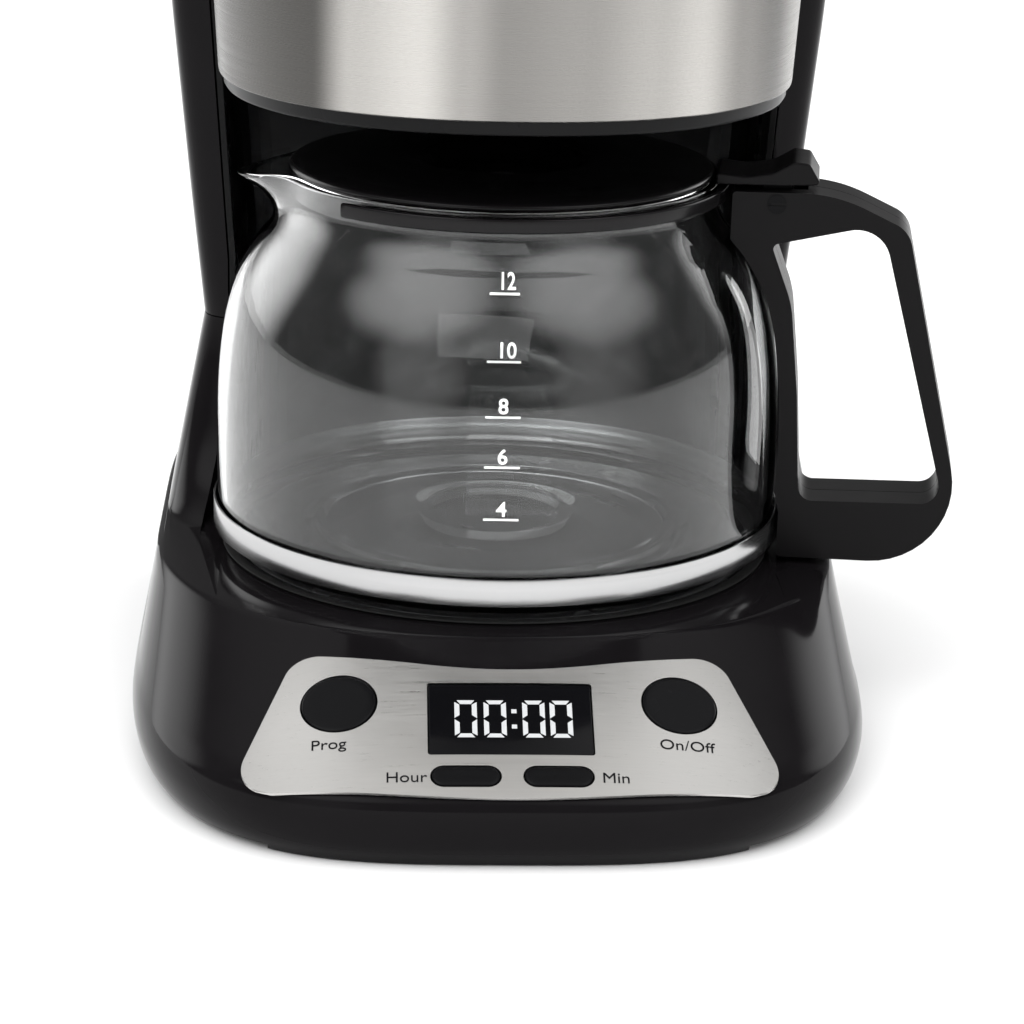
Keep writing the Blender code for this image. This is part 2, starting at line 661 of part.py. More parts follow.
def column_housing():
    levels = [WAIST_Z + GAP, 115.0, 130.0, 186.0, 240.0, 280.0, COLUMN_TOP_Z]
    shell = loft("column_housing", [column_ring(z, 28.0) for z in levels])
    room = [column_ring(z, 28.0, SKIN) for z in levels]
    room = [column_ring(80.0, 28.0, SKIN)] + room[1:-1] + [column_ring(330.0, 28.0, SKIN)]
    boolean(shell, as_cutter(loft("column_room", room)))
    boolean(shell, bay_cutter("bay_high", 90.0, 330.0, False))
    window = flat_outline("water_slot", [rounded([(106, 130, 4), (114, 130, 4), (114, 290, 4), (106, 290, 4)], 4)],
                          -12.0, 12.0)
    window.data.transform(Matrix.Rotation(math.pi / 2, 4, "X"))
    window.data.transform(Matrix.Rotation(math.pi / 2, 4, "Z"))
    boolean(shell, as_cutter(window, (92.0, 0.0, 0.0)))
    y, z = LID_HINGE
    for side in (-1, 1):
        low, high = sorted((side * 14.0, side * 28.0))
        knuckle = as_cutter(cylinder("knuckle_%d" % side, 3.2, (low, y, z), (high, y, z), 20))
        boolean(knuckle, as_cutter(box("knuckle_leg_%d" % side, (low, y - 2.0, z - 8.0), (high, y + 2.0, z))), "UNION")
        boolean(shell, knuckle, "UNION")
    boolean(shell, as_cutter(cylinder("knuckle_hole", PIN_R + GAP, (-60, y, z), (60, y, z), 16)))
    place(shell, "machine", GLOSS_BLACK)
    place(cylinder("top_lid_pin", PIN_R, (-43, y, z), (43, y, z), 16), "machine", STEEL)


def water_window():
    """A clear strip behind the slot in the right flank, beside the reservoir."""
    rows = []
    for z in (125.0, 160.0, 200.0, 240.0, 295.0):
        side = table_value(COLUMN_HALF_WIDTHS, z)
        rows.append([(side * (1 - ((y - 50.0) / 80.0) ** 5) ** 0.2 - SKIN - 2.1, y, z)
                     for y in (103.5, 107.0, 110.0, 112.5, 114.5)])
    strip = sheet("water_window", rows, 1.5)
    place(strip, "machine", CLEAR)


def bay_liner():
    """The dark inner wall behind and beside the carafe and the brew head."""
    rows = []
    for z in (DECK_Z + GAP, 80.0, 115.0, 173.0, 240.0, 297.0):
        half = table_value(BAY_HALF_WIDTHS, z) - GAP - 0.1
        front = 31.5 if z > 90 else 33.0
        corner = arc((half - 12.0, BAY_BACK_Y - 12.0), 12.0, 0, 90, 5)
        right = [(half, front)] + corner
        left = [(-x, y) for x, y in reversed(right)]
        rows.append([(x, y, z) for x, y in right + left])
    liner = sheet("bay_liner", rows, 1.8)
    place(liner, "machine", MATTE_BLACK)


def head_ring(z, inset=0.0, front=79.0, rear=HEAD_REAR_Y):
    grow = z - HEAD_BOTTOM_Z
    return oval(z, 76.3 + 0.06 * grow, 0.0, -front - 0.04 * grow, rear, 2.2, 2.2, inset, 48)


def brew_head():
    half = 12
    rows = []
    for z in (HEAD_BOTTOM_Z, 200.0, 235.0, 270.0, HEAD_TOP_Z):
        ring = head_ring(z)
        front = ring[-half + 1:] + ring[:half]
        rows.append(list(front))
    cladding = sheet("steel_cladding", rows, 0.8)
    place(cladding, "brew_unit", BRUSHED)

    inset = 0.8 + GAP + 0.1
    levels = [172.0, 174.5, 235.0, 296.4]
    holder = loft("basket_holder", [head_ring(z, inset) for z in levels])
    inner = [head_ring(176.0, inset + 2.4)] + [head_ring(z, inset + 2.4) for z in (235.0, 310.0)]
    boolean(holder, as_cutter(loft("holder_room", inner)))
    barrel = as_cutter(cylinder("holder_barrel", 6.0, (*SWING_AXIS, 172.2), (*SWING_AXIS, 296.2), 24))
    boolean(holder, barrel, "UNION")
    boolean(holder, as_cutter(cylinder("holder_pin_hole", 2.4, (*SWING_AXIS, 160), (*SWING_AXIS, 310), 20)))
    funnel = [(0.0, 173.0), (44.0, 173.0), (44.0, 171.0), (16.0, 166.4), (14.0, 164.6), (0.0, 164.6)]
    cone = as_cutter(lathe("holder_funnel", funnel, 40))
    boolean(holder, cone, "UNION")
    boolean(holder, as_cutter(lathe("holder_outlet", [(0, 190), (40.6, 190), (40.6, 172.6), (12.4, 168.4),
                                                      (11.5, 160), (0, 160)], 40)))
    place(holder, "brew_unit", MATTE_BLACK)

    cup = [(BASKET_R + 2.0, 290.0), (BASKET_R + 2.0, 288.4), (BASKET_R, 288.0), (39.0, 186.0), (37.0, 183.0),
           (9.0, 178.0), (7.0, 177.0), (7.0, 171.2), (3.4, 171.2), (3.4, 180.6), (36.0, 185.0), (37.2, 187.0),
           (BASKET_R - 1.8, 288.4), (BASKET_R - 1.8, 290.0)]
    place(lathe("brew_basket", cup, 32, ring=True), "brew_unit", MATTE_BLACK)
    plunger = [(0.0, 183.6), (6.0, 183.6), (6.0, 182.2), (2.2, 182.2), (2.2, 166.0), (5.4, 166.0), (5.4, 164.4),
               (4.6, VALVE_Z), (0.0, VALVE_Z)]
    place(lathe("drip_plunger", plunger, 24), "drip_stop", MATTE_BLACK)
    seal = [(6.0, 181.9), (6.0, 181.0), (2.6, 181.0), (2.6, 181.9)]
    place(lathe("drip_seal", seal, 24, ring=True), "drip_stop", SILICONE)
    turns, radius, steps = 3, 3.2, 9
    coil = [(radius * math.cos(math.tau * i / steps), radius * math.sin(math.tau * i / steps),
             166.9 + 3.6 * i / (steps * turns)) for i in range(steps * turns + 1)]
    place(tube("drip_spring", coil, 0.4, ready=True), "brew_unit", STEEL)


def cap_ring(z, inset):
    """The head cap's outline: round in front, square where it meets the lid."""
    grow = z - HEAD_BOTTOM_Z
    return oval(z, 76.3 + 0.06 * grow, 0.0, -79.0 - 0.04 * grow, 30.0, 2.2, 16.0, inset, 48)


def head_cap():
    """The fixed cap over the brew head, which holds the swing pin and the shower head."""
    levels = [(297.2, 0.0), (312.0, 0.0), (324.0, 0.6), (331.0, 3.0), (334.5, 9.0)]
    cap = loft("head_cap", [cap_ring(*level) for level in levels])
    bridge = flat_outline("head_bridge", [rounded([(-86, 10, 3), (86, 10, 3), (86, 83.5, 10), (-86, 83.5, 10)])],
                          297.2, COLUMN_TOP_Z - 1.0)
    boolean(cap, as_cutter(bridge), "UNION")
    room = [cap_ring(z, inset + SKIN) for z, inset in ((299.7, 0.0), (312.0, 0.0), (324.0, 0.6), (331.0, 5.0))]
    boolean(cap, as_cutter(loft("head_room", room)))
    boolean(cap, as_cutter(cylinder("shower_hole", 38.0, (0, 0, 290), (0, 0, 303), 40)))
    boolean(cap, as_cutter(box("bridge_room", (-82.0, 20.0, 299.7), (82.0, 90.0, 313.0))))
    post = as_cutter(cylinder("pin_post", 5.0, (*SWING_AXIS, 297.2), (*SWING_AXIS, 312.0), 20))
    boolean(cap, post, "UNION")
    boolean(cap, as_cutter(cylinder("pin_hole", PIN_R + GAP, (*SWING_AXIS, 290), (*SWING_AXIS, 308), 20)))
    place(cap, "machine", GLOSS_BLACK)
    place(cylinder("swing_pin", PIN_R, (*SWING_AXIS, 167.6), (*SWING_AXIS, 307.4), 20), "machine", STEEL)
    x, y = SWING_AXIS
    outline = [(x - 5, y - 5, 4), (x + 5, y - 5, 4), (x + 5, y + 8, 4), (-60, 45, 3), (-76.0, 45, 2),
               (-76.0, y + 22, 2)]
    lug = flat_outline("swing_bracket", [rounded(outline)], 167.0, 171.4)
    boolean(lug, as_cutter(cylinder("bracket_hole", PIN_R + GAP, (x, y, 160), (x, y, 180), 20)))
    place(lug, "machine", STEEL)


def top_lid():
    """The reservoir's lid, with the barrels that it swings on at the back."""
    def ring(z, inset):
        return oval(z, 98.0, 75.0, 30.5, 129.0, 16.0, 5.0, inset, 48)
    lid = loft("top_lid", [ring(COLUMN_TOP_Z + GAP, 0.4), ring(324.0, 0.0), ring(331.0, 2.5), ring(334.5, 9.0)])
    boolean(lid, as_cutter(loft("lid_room", [ring(310.0, 3.0), ring(324.0, 3.0), ring(331.5, 8.0)])))
    y, z = LID_HINGE
    boolean(lid, as_cutter(box("lid_notch", (-28.5, y - 5.0, 310), (28.5, y + 6.0, z + 4.5))))
    for side in (-1, 1):
        low, high = sorted((side * 28.5, side * 42.0))
        lug = cylinder("lid_barrel_%d" % side, 3.2, (low, y, z), (high, y, z), 20)
        boolean(lid, as_cutter(lug), "UNION")
    boolean(lid, as_cutter(cylinder("lid_pin_hole", PIN_R + GAP, (-43.5, y, z), (43.5, y, z), 16)))
    place(lid, "top_lid_body", GLOSS_BLACK)


def glass_point(radius, z, angle):
    """A point of the carafe wall. The spout pulls the neck out to the left and lets its lip droop."""
    spout = math.pi + HANDLE_TURN
    off = (angle - spout + math.pi) % math.tau - math.pi
    reach = max(0.0, min(1.0, (z - 133.0) / (RIM_Z - 133.0)))
    pull = math.exp(-(off / 0.24) ** 2) * reach ** 1.4
    radius += 14.0 * pull * min(1.0, radius / 50.0)
    return radius * math.cos(angle), radius * math.sin(angle), z - 3.5 * pull


GLASS_OUTER = [(22.0, 49.5), (48.0, 47.6), (53.0, 45.7), (66.0, 45.5), (71.5, 46.2), (75.0, 49.0),
               (76.6, 54.0), (CARAFE_R, 62.0), (CARAFE_R, 86.0), (76.3, 97.0), (74.6, 109.0),
               (71.6, 119.5), (66.9, 128.0), (61.6, 134.5), (59.2, 139.0), (NECK_R, 143.0), (58.8, RIM_Z)]


def carafe():
    inner = [(max(radius - GLASS, 0.0), z + 0.3) for radius, z in reversed(GLASS_OUTER[5:])]
    inner += [(70.0, 48.9), (54.0, 48.2), (49.0, 50.0), (22.0, 51.8)]
    profile = GLASS_OUTER + inner
    count = 36
    rings = [[glass_point(radius, z, math.tau * i / count) for i in range(count)] for radius, z in profile]
    glass = loft("carafe_glass", rings)
    place(glass, "carafe", CLEAR)


def carafe_fittings():
    low, high = BAND_Z
    band = [(78.1, high), (78.1, low), (77.5, low), (77.5, high)]
    place(lathe("carafe_band", band, 48, ring=True), "carafe", BRUSHED)
    collar = [(61.4, 147.8), (61.4, 144.0), (59.5, 143.6), (59.5, 147.8)]
    ring = lathe("carafe_collar", collar, 48, ring=True)
    spout = box("collar_gap", (-80, -49, 130), (-33, 49, 160))
    spout.data.transform(Matrix.Rotation(HANDLE_TURN, 4, "Z"))
    boolean(ring, as_cutter(spout))
    place(ring, "carafe", MATTE_BLACK)


HANDLE_EDGE = [(62.3, 147.2, 1.0), (90.0, 147.5, 40.0), (109.8, 138.4, 8.0), (130.9, 46.2, 22.0),
               (78.6, 46.2, 1.0), (78.6, 60.4, 0.4)]
HANDLE_WINDOW = [(73.5, 133.1, 1.5), (102.7, 139.9, 9.0), (123.1, 63.3, 5.0), (83.9, 62.5, 4.0),
                 (82.2, 92.0, 40.0), (79.6, 117.0, 30.0)]
LEVER_EDGE = [(58.0, 148.8, 0.5), (76.0, 149.0, 20.0), (86.0, 149.6, 1.0), (82.6, 155.2, 1.5), (78.4, 155.6, 2.0),
              (73.0, 152.4, 6.0), (66.0, 151.2, 10.0), (58.0, 152.0, 1.0)]


def upright(outline_name, outlines, low, high):
    """A plate cut to an outline of (rho, z) points, between two distances off the handle's middle."""
    body = flat_outline(outline_name, outlines, low, high)
    body.data.transform(Matrix.Rotation(HANDLE_TURN, 4, "Z") @ Matrix.Rotation(math.pi / 2, 4, "X"))
    return body


def handle():
    edge = rounded(HANDLE_EDGE)
    edge += [(radius + 0.6, z) for radius, z in GLASS_OUTER[7:14]]
    slot = upright("lug_slot", [rounded([(65.5, 139.6, 1), (82.5, 139.6, 1), (82.5, 170, 1), (65.5, 170, 1)])],
                   -HANDLE_SLOT, HANDLE_SLOT)
    as_cutter(slot)
    bore = as_cutter(cylinder("lid_bore", PIN_R + GAP, turned(*LID_PIVOT, -20), turned(*LID_PIVOT, 20), 16))
    for name, low, high in (("handle_front", 0.15, HANDLE_HALF), ("handle_rear", -HANDLE_HALF, -0.15)):
        half = upright(name, [edge, rounded(HANDLE_WINDOW)], low, high)
        boolean(half, slot)
        boolean(half, bore)
        place(half, "carafe", MATTE_BLACK)
    pin = cylinder("carafe_lid_pin", PIN_R, turned(*LID_PIVOT, -10.8), turned(*LID_PIVOT, 10.6), 16)
    place(pin, "carafe", STEEL)


def carafe_lid():
    crown = [(3.0, 147.4), (17.0, 147.6), (20.5, 149.4), (22.6, 151.8), (27.0, 152.7), (38.0, 152.7),
             (50.0, 151.9), (56.6, 150.8), (57.4, 150.1), (57.4, 149.1), (55.4, 149.1), (55.2, 141.5),
             (53.4, 141.5), (53.2, 148.0), (24.6, 149.2), (20.0, 146.0), (17.0, 145.4), (3.0, 145.2)]
    lid = lathe("carafe_lid", crown, 32, ring=True)
    place(lid, "carafe_lid_body", MATTE_BLACK)
    lever = upright("thumb_lever", [rounded(LEVER_EDGE, 4)], -10.4, 10.4)
    rho, z = LID_PIVOT
    eye = [(rho + 4.2, 150.0), (rho - 4.2, 150.0)] + arc(LID_PIVOT, 4.2, 180, 360, 10)
    boolean(lever, as_cutter(upright("lever_eye", [eye], -HANDLE_SLOT + 0.5, HANDLE_SLOT - 0.5)), "UNION")
    boolean(lever, as_cutter(cylinder("lever_bore", PIN_R + GAP, turned(rho, z, -20), turned(rho, z, 20), 16)))
    place(lever, "carafe_lid_body", MATTE_BLACK)


def main():
    base_housing()
    base_plate()
    feet()
    cord_gland()
    hot_plate_group()
    control_panel()
    buttons()
    display_group()
    water_parts()
    column_housing()
    water_window()
    bay_liner()
    brew_head()
    head_cap()
    top_lid()
    carafe()
    carafe_fittings()
    handle()
    carafe_lid()


main()
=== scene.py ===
"""Looks of the drip coffee maker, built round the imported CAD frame.

Lengths are millimetres from the carafe's axis at table level. spot() turns them into the frame's metres.
"""

import math

import bmesh
import bpy
from mathutils import Matrix, Vector


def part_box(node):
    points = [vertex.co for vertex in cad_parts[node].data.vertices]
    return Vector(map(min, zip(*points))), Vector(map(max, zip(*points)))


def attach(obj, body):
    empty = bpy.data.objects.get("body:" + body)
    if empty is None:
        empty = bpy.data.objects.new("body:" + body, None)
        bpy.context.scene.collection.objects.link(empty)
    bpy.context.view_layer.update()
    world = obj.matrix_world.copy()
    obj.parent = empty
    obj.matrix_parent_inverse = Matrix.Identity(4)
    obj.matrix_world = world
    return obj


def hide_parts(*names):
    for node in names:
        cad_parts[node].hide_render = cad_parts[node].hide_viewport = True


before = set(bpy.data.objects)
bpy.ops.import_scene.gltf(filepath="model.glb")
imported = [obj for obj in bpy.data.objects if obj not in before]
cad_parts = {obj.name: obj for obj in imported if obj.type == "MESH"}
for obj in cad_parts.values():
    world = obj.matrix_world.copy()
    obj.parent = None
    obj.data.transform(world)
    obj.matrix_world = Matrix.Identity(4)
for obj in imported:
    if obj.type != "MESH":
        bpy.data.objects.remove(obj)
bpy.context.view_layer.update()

MM = 0.001
PLATE_LOW, PLATE_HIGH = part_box("hot_plate")
AXIS = Vector(((PLATE_LOW.x + PLATE_HIGH.x) / 2, (PLATE_LOW.y + PLATE_HIGH.y) / 2, 0.0))
RING_POINTS = 192

DECK_Z = 44.2
WAIST_Z = 98.0
COLUMN_TOP_Z = 316.5
REAR_Y = 130.0
SLOPE_FOOT_Z = 19.0
BAY_BACK_Y = 84.0
BAY_RIM_R = 82.0
PLATE_R = 72.0
PLATE_TOP_Z = 45.2
GAP = 0.35
SKIN = 2.5
PANEL_TILT = math.radians(27.2)
PANEL_FOOT = Vector((0.0, -132.6, SLOPE_FOOT_Z))
ROUND_BUTTON = (42.6, 32.2, 9.4)
OVAL_BUTTON = (11.4, 6.9, 8.4, 3.1)
DISPLAY_S = 25.9
DISPLAY_SIZE = (41.4, 24.0)
GLASS = 2.2
RIM_Z = 148.5
HANDLE_TURN = math.radians(-8.0)
HANDLE_HALF = 11.0
LID_PIVOT = (74.4, 144.2)
HEAD_BOTTOM_Z = 176.0
LID_HINGE = (127.4, 322.0)
SWING_AXIS = (-66.5, 12.0)
WELL_DEPTH = 1.7
WELL_GROW = 0.4
STEM_LENGTH = 5.6
SHEET_LOW, SHEET_TOP = 0.45, 1.25
PRINT_TURN = math.radians(-91.4)


def spot(point):
    """A point in millimetres from the carafe's axis, as a point of the frame in metres."""
    return Vector(point) * MM + AXIS


# ---------------------------------------------------------------- mesh building

def piece_from(bm, name):
    """Turn a finished bmesh into an object in the scene."""
    mesh = bpy.data.meshes.new(name)
    bmesh.ops.recalc_face_normals(bm, faces=bm.faces)
    bm.to_mesh(mesh)
    bm.free()
    obj = bpy.data.objects.new(name, mesh)
    bpy.context.scene.collection.objects.link(obj)
    return obj


def loft(name, rings, closed=False, caps=True):
    """A surface through rings of equal length. A closed one joins its last ring to its first."""
    bm = bmesh.new()
    rows = [[bm.verts.new(spot(point)) for point in ring] for ring in rings]
    pairs = list(zip(rows, rows[1:]))
    if closed:
        pairs.append((rows[-1], rows[0]))
    for low, high in pairs:
        for i in range(len(low)):
            j = (i + 1) % len(low)
            bm.faces.new((low[i], low[j], high[j], high[i]))
    if caps and not closed:
        bm.faces.new(list(reversed(rows[0])))
        bm.faces.new(rows[-1])
    return piece_from(bm, name)


def circle(radius, z, count=128, centre=(0.0, 0.0)):
    """The points of a level circle."""
    step = math.tau / count
    return [(centre[0] + radius * math.cos(i * step), centre[1] + radius * math.sin(i * step), z)
            for i in range(count)]


def turned_piece(name, profile, count=128, centre=(0.0, 0.0), closed=True):
    """A turned body from (radius, z) points. A closed profile is a ring, an open one is capped."""
    return loft(name, [circle(radius, z, count, centre) for radius, z in profile], closed)


def soft(profile, reach=1.0, steps=3, closed=True):
    """A profile or outline with each corner rounded by a short arc-like cut."""
    out = []
    count = len(profile)
    for i, here in enumerate(profile):
        here = Vector(here)
        if not closed and i in (0, count - 1):
            out.append(tuple(here))
            continue
        back = Vector(profile[i - 1]) - here
        ahead = Vector(profile[(i + 1) % count]) - here
        cut = min(reach, back.length * 0.45, ahead.length * 0.45)
        start, end = here + back.normalized() * cut, here + ahead.normalized() * cut
        for k in range(steps + 1):
            t = k / steps
            out.append(tuple(start * (1 - t) ** 2 + here * 2 * t * (1 - t) + end * t ** 2))
    return out


def rounded(corners, steps=8):
    """A closed outline from (x, y, radius) corners."""
    outline = []
    count = len(corners)
    for i, (x, y, radius) in enumerate(corners):
        here = Vector((x, y))
        back = (Vector(corners[i - 1][:2]) - here).normalized()
        ahead = (Vector(corners[(i + 1) % count][:2]) - here).normalized()
        half = back.angle(ahead) * 0.5
        reach = radius / math.tan(half)
        centre = here + (back + ahead).normalized() * radius / math.sin(half)
        start = here + back * reach - centre
        end = here + ahead * reach - centre
        sweep = start.angle_signed(end)
        for step in range(steps + 1):
            point = centre + Matrix.Rotation(-sweep * step / steps, 2) @ start
            outline.append((point.x, point.y))
    return outline


def arc(centre, radius, start, end, steps):
    """Points along an arc between two angles in degrees."""
    angles = [math.radians(start + (end - start) * i / steps) for i in range(steps + 1)]
    return [(centre[0] + radius * math.cos(a), centre[1] + radius * math.sin(a)) for a in angles]


def slab(name, outlines, low, high, lay):
    """A plate between two heights from closed outlines, of which later ones are holes.

    lay turns a flat (u, v, w) into a point in millimetres.
    """
    curve = bpy.data.curves.new(name + "_outline", "CURVE")
    curve.dimensions = "2D"
    curve.fill_mode = "BOTH"
    curve.extrude = (high - low) * 0.5
    for outline in outlines:
        spline = curve.splines.new("POLY")
        spline.points.add(len(outline) - 1)
        spline.use_cyclic_u = True
        for target, (u, v) in zip(spline.points, outline):
            target.co = (u, v, 0.0, 1.0)
    guide = bpy.data.objects.new(name + "_outline", curve)
    bpy.context.scene.collection.objects.link(guide)
    bpy.context.view_layer.update()
    mesh = bpy.data.meshes.new_from_object(guide.evaluated_get(bpy.context.evaluated_depsgraph_get()))
    bpy.data.objects.remove(guide, do_unlink=True)
    bm = bmesh.new()
    bm.from_mesh(mesh)
    bmesh.ops.remove_doubles(bm, verts=bm.verts, dist=0.0005)
    bmesh.ops.dissolve_limit(bm, angle_limit=0.001, verts=bm.verts, edges=bm.edges)
    for vert in bm.verts:
        vert.co = spot(lay((vert.co.x, vert.co.y, vert.co.z + (low + high) * 0.5)))
    return piece_from(bm, name)


def words(text, size, lay, name, lift=0.12, weight=0.0, fine=0.6):
    """Lettering as thin mesh, laid on a surface by lay((u, v, w)). It is centred on u = 0, v = 0."""
    curve = bpy.data.curves.new(name, "FONT")
    curve.body = text
    curve.size = size
    curve.align_x = "CENTER"
    curve.align_y = "CENTER"
    curve.resolution_u = 6
    curve.extrude = 0.04
    curve.offset = size * weight
    guide = bpy.data.objects.new(name + "_guide", curve)
    bpy.context.scene.collection.objects.link(guide)
    bpy.context.view_layer.update()
    mesh = bpy.data.meshes.new_from_object(guide.evaluated_get(bpy.context.evaluated_depsgraph_get()))
    bpy.data.objects.remove(guide, do_unlink=True)
    bm = bmesh.new()
    bm.from_mesh(mesh)
    bmesh.ops.remove_doubles(bm, verts=bm.verts, dist=0.0005)
    bmesh.ops.triangulate(bm, faces=bm.faces)
    bmesh.ops.subdivide_edges(bm, edges=[e for e in bm.edges if e.calc_length() > fine], cuts=1)
    for vert in bm.verts:
        vert.co = spot(lay((vert.co.x, vert.co.y, vert.co.z + lift)))
    return piece_from(bm, name)


def cut(obj, other, operation="DIFFERENCE"):
    """Boolean one piece with another, which is used up."""
    step = obj.modifiers.new("cut", "BOOLEAN")
    step.operation = operation
    step.object = other
    step.solver = "EXACT"
    bpy.context.view_layer.update()
    mesh = bpy.data.meshes.new_from_object(obj.evaluated_get(bpy.context.evaluated_depsgraph_get()))
    obj.modifiers.clear()
    obj.data = mesh
    bpy.data.objects.remove(other, do_unlink=True)
    return obj


def block(name, low, high):
    """A box between two corners, as a cutter."""
    low, high = Vector(low), Vector(high)
    corners = [(low.x, low.y), (high.x, low.y), (high.x, high.y), (low.x, high.y)]
    return loft(name, [[(x, y, z) for x, y in corners] for z in (low.z, high.z)])


def rod(name, radius, start, end, count=32):
    """A round rod between two points."""
    start, end = Vector(start), Vector(end)
    turn = (end - start).to_track_quat("Z", "Y")
    return loft(name, [[middle + turn @ Vector(point) for point in circle(radius, 0.0, count)]
                       for middle in (start, end)])


def dress(obj, body, look, stands_for=(), edge=0.0, steps=2, angle=35.0):
    """Finish a piece: its edges, shading, material, body, and the CAD nodes that it stands for."""
    obj.data.materials.clear()
    obj.data.materials.append(look)
    if edge:
        bevel = obj.modifiers.new("edge", "BEVEL")
        bevel.width = edge * MM
        bevel.segments = steps
        bevel.limit_method = "ANGLE"
        bevel.angle_limit = math.radians(40.0)
        bevel.use_clamp_overlap = True
        bevel.harden_normals = False
    obj.data.shade_smooth()
    obj.data.set_sharp_from_angle(angle=math.radians(angle))
    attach(obj, body)
    if stands_for:
        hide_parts(*stands_for)
    return obj


# ---------------------------------------------------------------- materials

def new_look(name):
    """A new material with its node tree's nodes, links and main shader."""
    look = bpy.data.materials.new(name)
    look.use_nodes = True
    return look, look.node_tree.nodes, look.node_tree.links, look.node_tree.nodes["Principled BSDF"]


def spread(nodes, links, scale, detail=3.0, stretch=(1.0, 1.0, 1.0), rough=0.6):
    """A noise in object space, stretched as asked."""
    where = nodes.new("ShaderNodeTexCoord")
    mapping = nodes.new("ShaderNodeMapping")
    mapping.inputs["Scale"].default_value = stretch
    noise = nodes.new("ShaderNodeTexNoise")
    noise.inputs["Scale"].default_value = scale
    noise.inputs["Detail"].default_value = detail
    noise.inputs["Roughness"].default_value = rough
    links.new(where.outputs["Object"], mapping.inputs["Vector"])
    links.new(mapping.outputs["Vector"], noise.inputs["Vector"])
    return noise.outputs["Fac"]


def scaled(nodes, links, source, low, high, start=0.3, end=0.7):
    """Map a value between start and end to between low and high."""
    span = nodes.new("ShaderNodeMapRange")
    span.inputs["From Min"].default_value = start
    span.inputs["From Max"].default_value = end
    span.inputs["To Min"].default_value = low
    span.inputs["To Max"].default_value = high
    links.new(source, span.inputs["Value"])
    return span.outputs["Result"]


def two_tone(nodes, links, source, dark, light):
    """A colour between two, by a value from 0 to 1."""
    ramp = nodes.new("ShaderNodeMix")
    ramp.data_type = "RGBA"
    ramp.inputs["A"].default_value = (*dark, 1.0)
    ramp.inputs["B"].default_value = (*light, 1.0)
    links.new(source, ramp.inputs["Factor"])
    return ramp.outputs["Result"]


def bumped(nodes, links, shader, source, strength, distance):
    """Let a value raise the surface by up to a distance in metres."""
    bump = nodes.new("ShaderNodeBump")
    bump.inputs["Strength"].default_value = strength
    bump.inputs["Distance"].default_value = distance
    links.new(source, bump.inputs["Height"])
    links.new(bump.outputs["Normal"], shader.inputs["Normal"])


def plastic(name, dark, light, roughness, grain, depth, specular=0.5):
    """Moulded plastic or rubber: a slight mottle, uneven gloss, and a grain of the given scale."""
    look, nodes, links, shader = new_look(name)
    mottle = spread(nodes, links, 35.0)
    links.new(two_tone(nodes, links, mottle, dark, light), shader.inputs["Base Color"])
    links.new(scaled(nodes, links, mottle, *roughness), shader.inputs["Roughness"])
    bumped(nodes, links, shader, spread(nodes, links, grain, 4.0), 0.3, depth)
    shader.inputs["Specular IOR Level"].default_value = specular
    return look


def metal(name, dark, light, roughness, stretch, depth, anisotropic=0.5):
    """Brushed metal: long fine scratches along the axis with the small stretch."""
    look, nodes, links, shader = new_look(name)
    lines = spread(nodes, links, 1.0, 5.0, stretch, 0.75)
    links.new(two_tone(nodes, links, lines, dark, light), shader.inputs["Base Color"])
    links.new(scaled(nodes, links, lines, *roughness), shader.inputs["Roughness"])
    bumped(nodes, links, shader, lines, 0.25, depth)
    shader.inputs["Metallic"].default_value = 1.0
    shader.inputs["Anisotropic"].default_value = anisotropic
    return look


def add_bands(look, middle, half, tones):
    """Darken a material in soft upright bands that stand for reflections: painted reflections, light and dark, in
    its base colour. tones are (place from -1 to 1 across, grey).
    """
    nodes, links = look.node_tree.nodes, look.node_tree.links
    shader = nodes["Principled BSDF"]
    plain = shader.inputs["Base Color"].links[0].from_socket
    where = nodes.new("ShaderNodeTexCoord")
    split = nodes.new("ShaderNodeSeparateXYZ")
    links.new(where.outputs["Object"], split.inputs["Vector"])
    ramp = nodes.new("ShaderNodeValToRGB")
    ramp.color_ramp.interpolation = "EASE"
    across = scaled(nodes, links, split.outputs["X"], 0.0, 1.0, middle - half, middle + half)
    links.new(across, ramp.inputs["Fac"])
    stops = ramp.color_ramp.elements
    while len(stops) < len(tones):
        stops.new(0.5)
    for stop, (place, grey) in zip(stops, tones):
        stop.position = place * 0.5 + 0.5
        stop.color = (grey, grey * 0.985, grey * 0.965, 1.0)
    mix = nodes.new("ShaderNodeMix")
    mix.data_type = "RGBA"
    mix.blend_type = "MULTIPLY"
    mix.inputs["Factor"].default_value = 1.0
    links.new(plain, mix.inputs["A"])
    links.new(ramp.outputs["Color"], mix.inputs["B"])
    links.new(mix.outputs["Result"], shader.inputs["Base Color"])


def clear_glass(name, tint, smudge):
    """Glass with a faint uneven film on it."""
    look, nodes, links, shader = new_look(name)
    film = spread(nodes, links, 22.0, 5.0)
    links.new(scaled(nodes, links, film, 0.0, smudge, 0.45, 0.8), shader.inputs["Roughness"])
    links.new(two_tone(nodes, links, film, tint, (0.97, 0.975, 0.975)), shader.inputs["Base Color"])
    shader.inputs["Transmission Weight"].default_value = 1.0
    shader.inputs["IOR"].default_value = 1.47
    return look


def glow(name, colour, strength):
    """A mark that gives off light, a little uneven: the clock's lit figures, and white print given a painted
    glow.
    """
    look, nodes, links, shader = new_look(name)
    noise = spread(nodes, links, 900.0)
    dim = tuple(channel * 0.92 for channel in colour)
    links.new(two_tone(nodes, links, noise, dim, colour), shader.inputs["Base Color"])
    shader.inputs["Emission Color"].default_value = (*colour, 1.0)
    shader.inputs["Emission Strength"].default_value = strength
    shader.inputs["Roughness"].default_value = 0.5
    return look


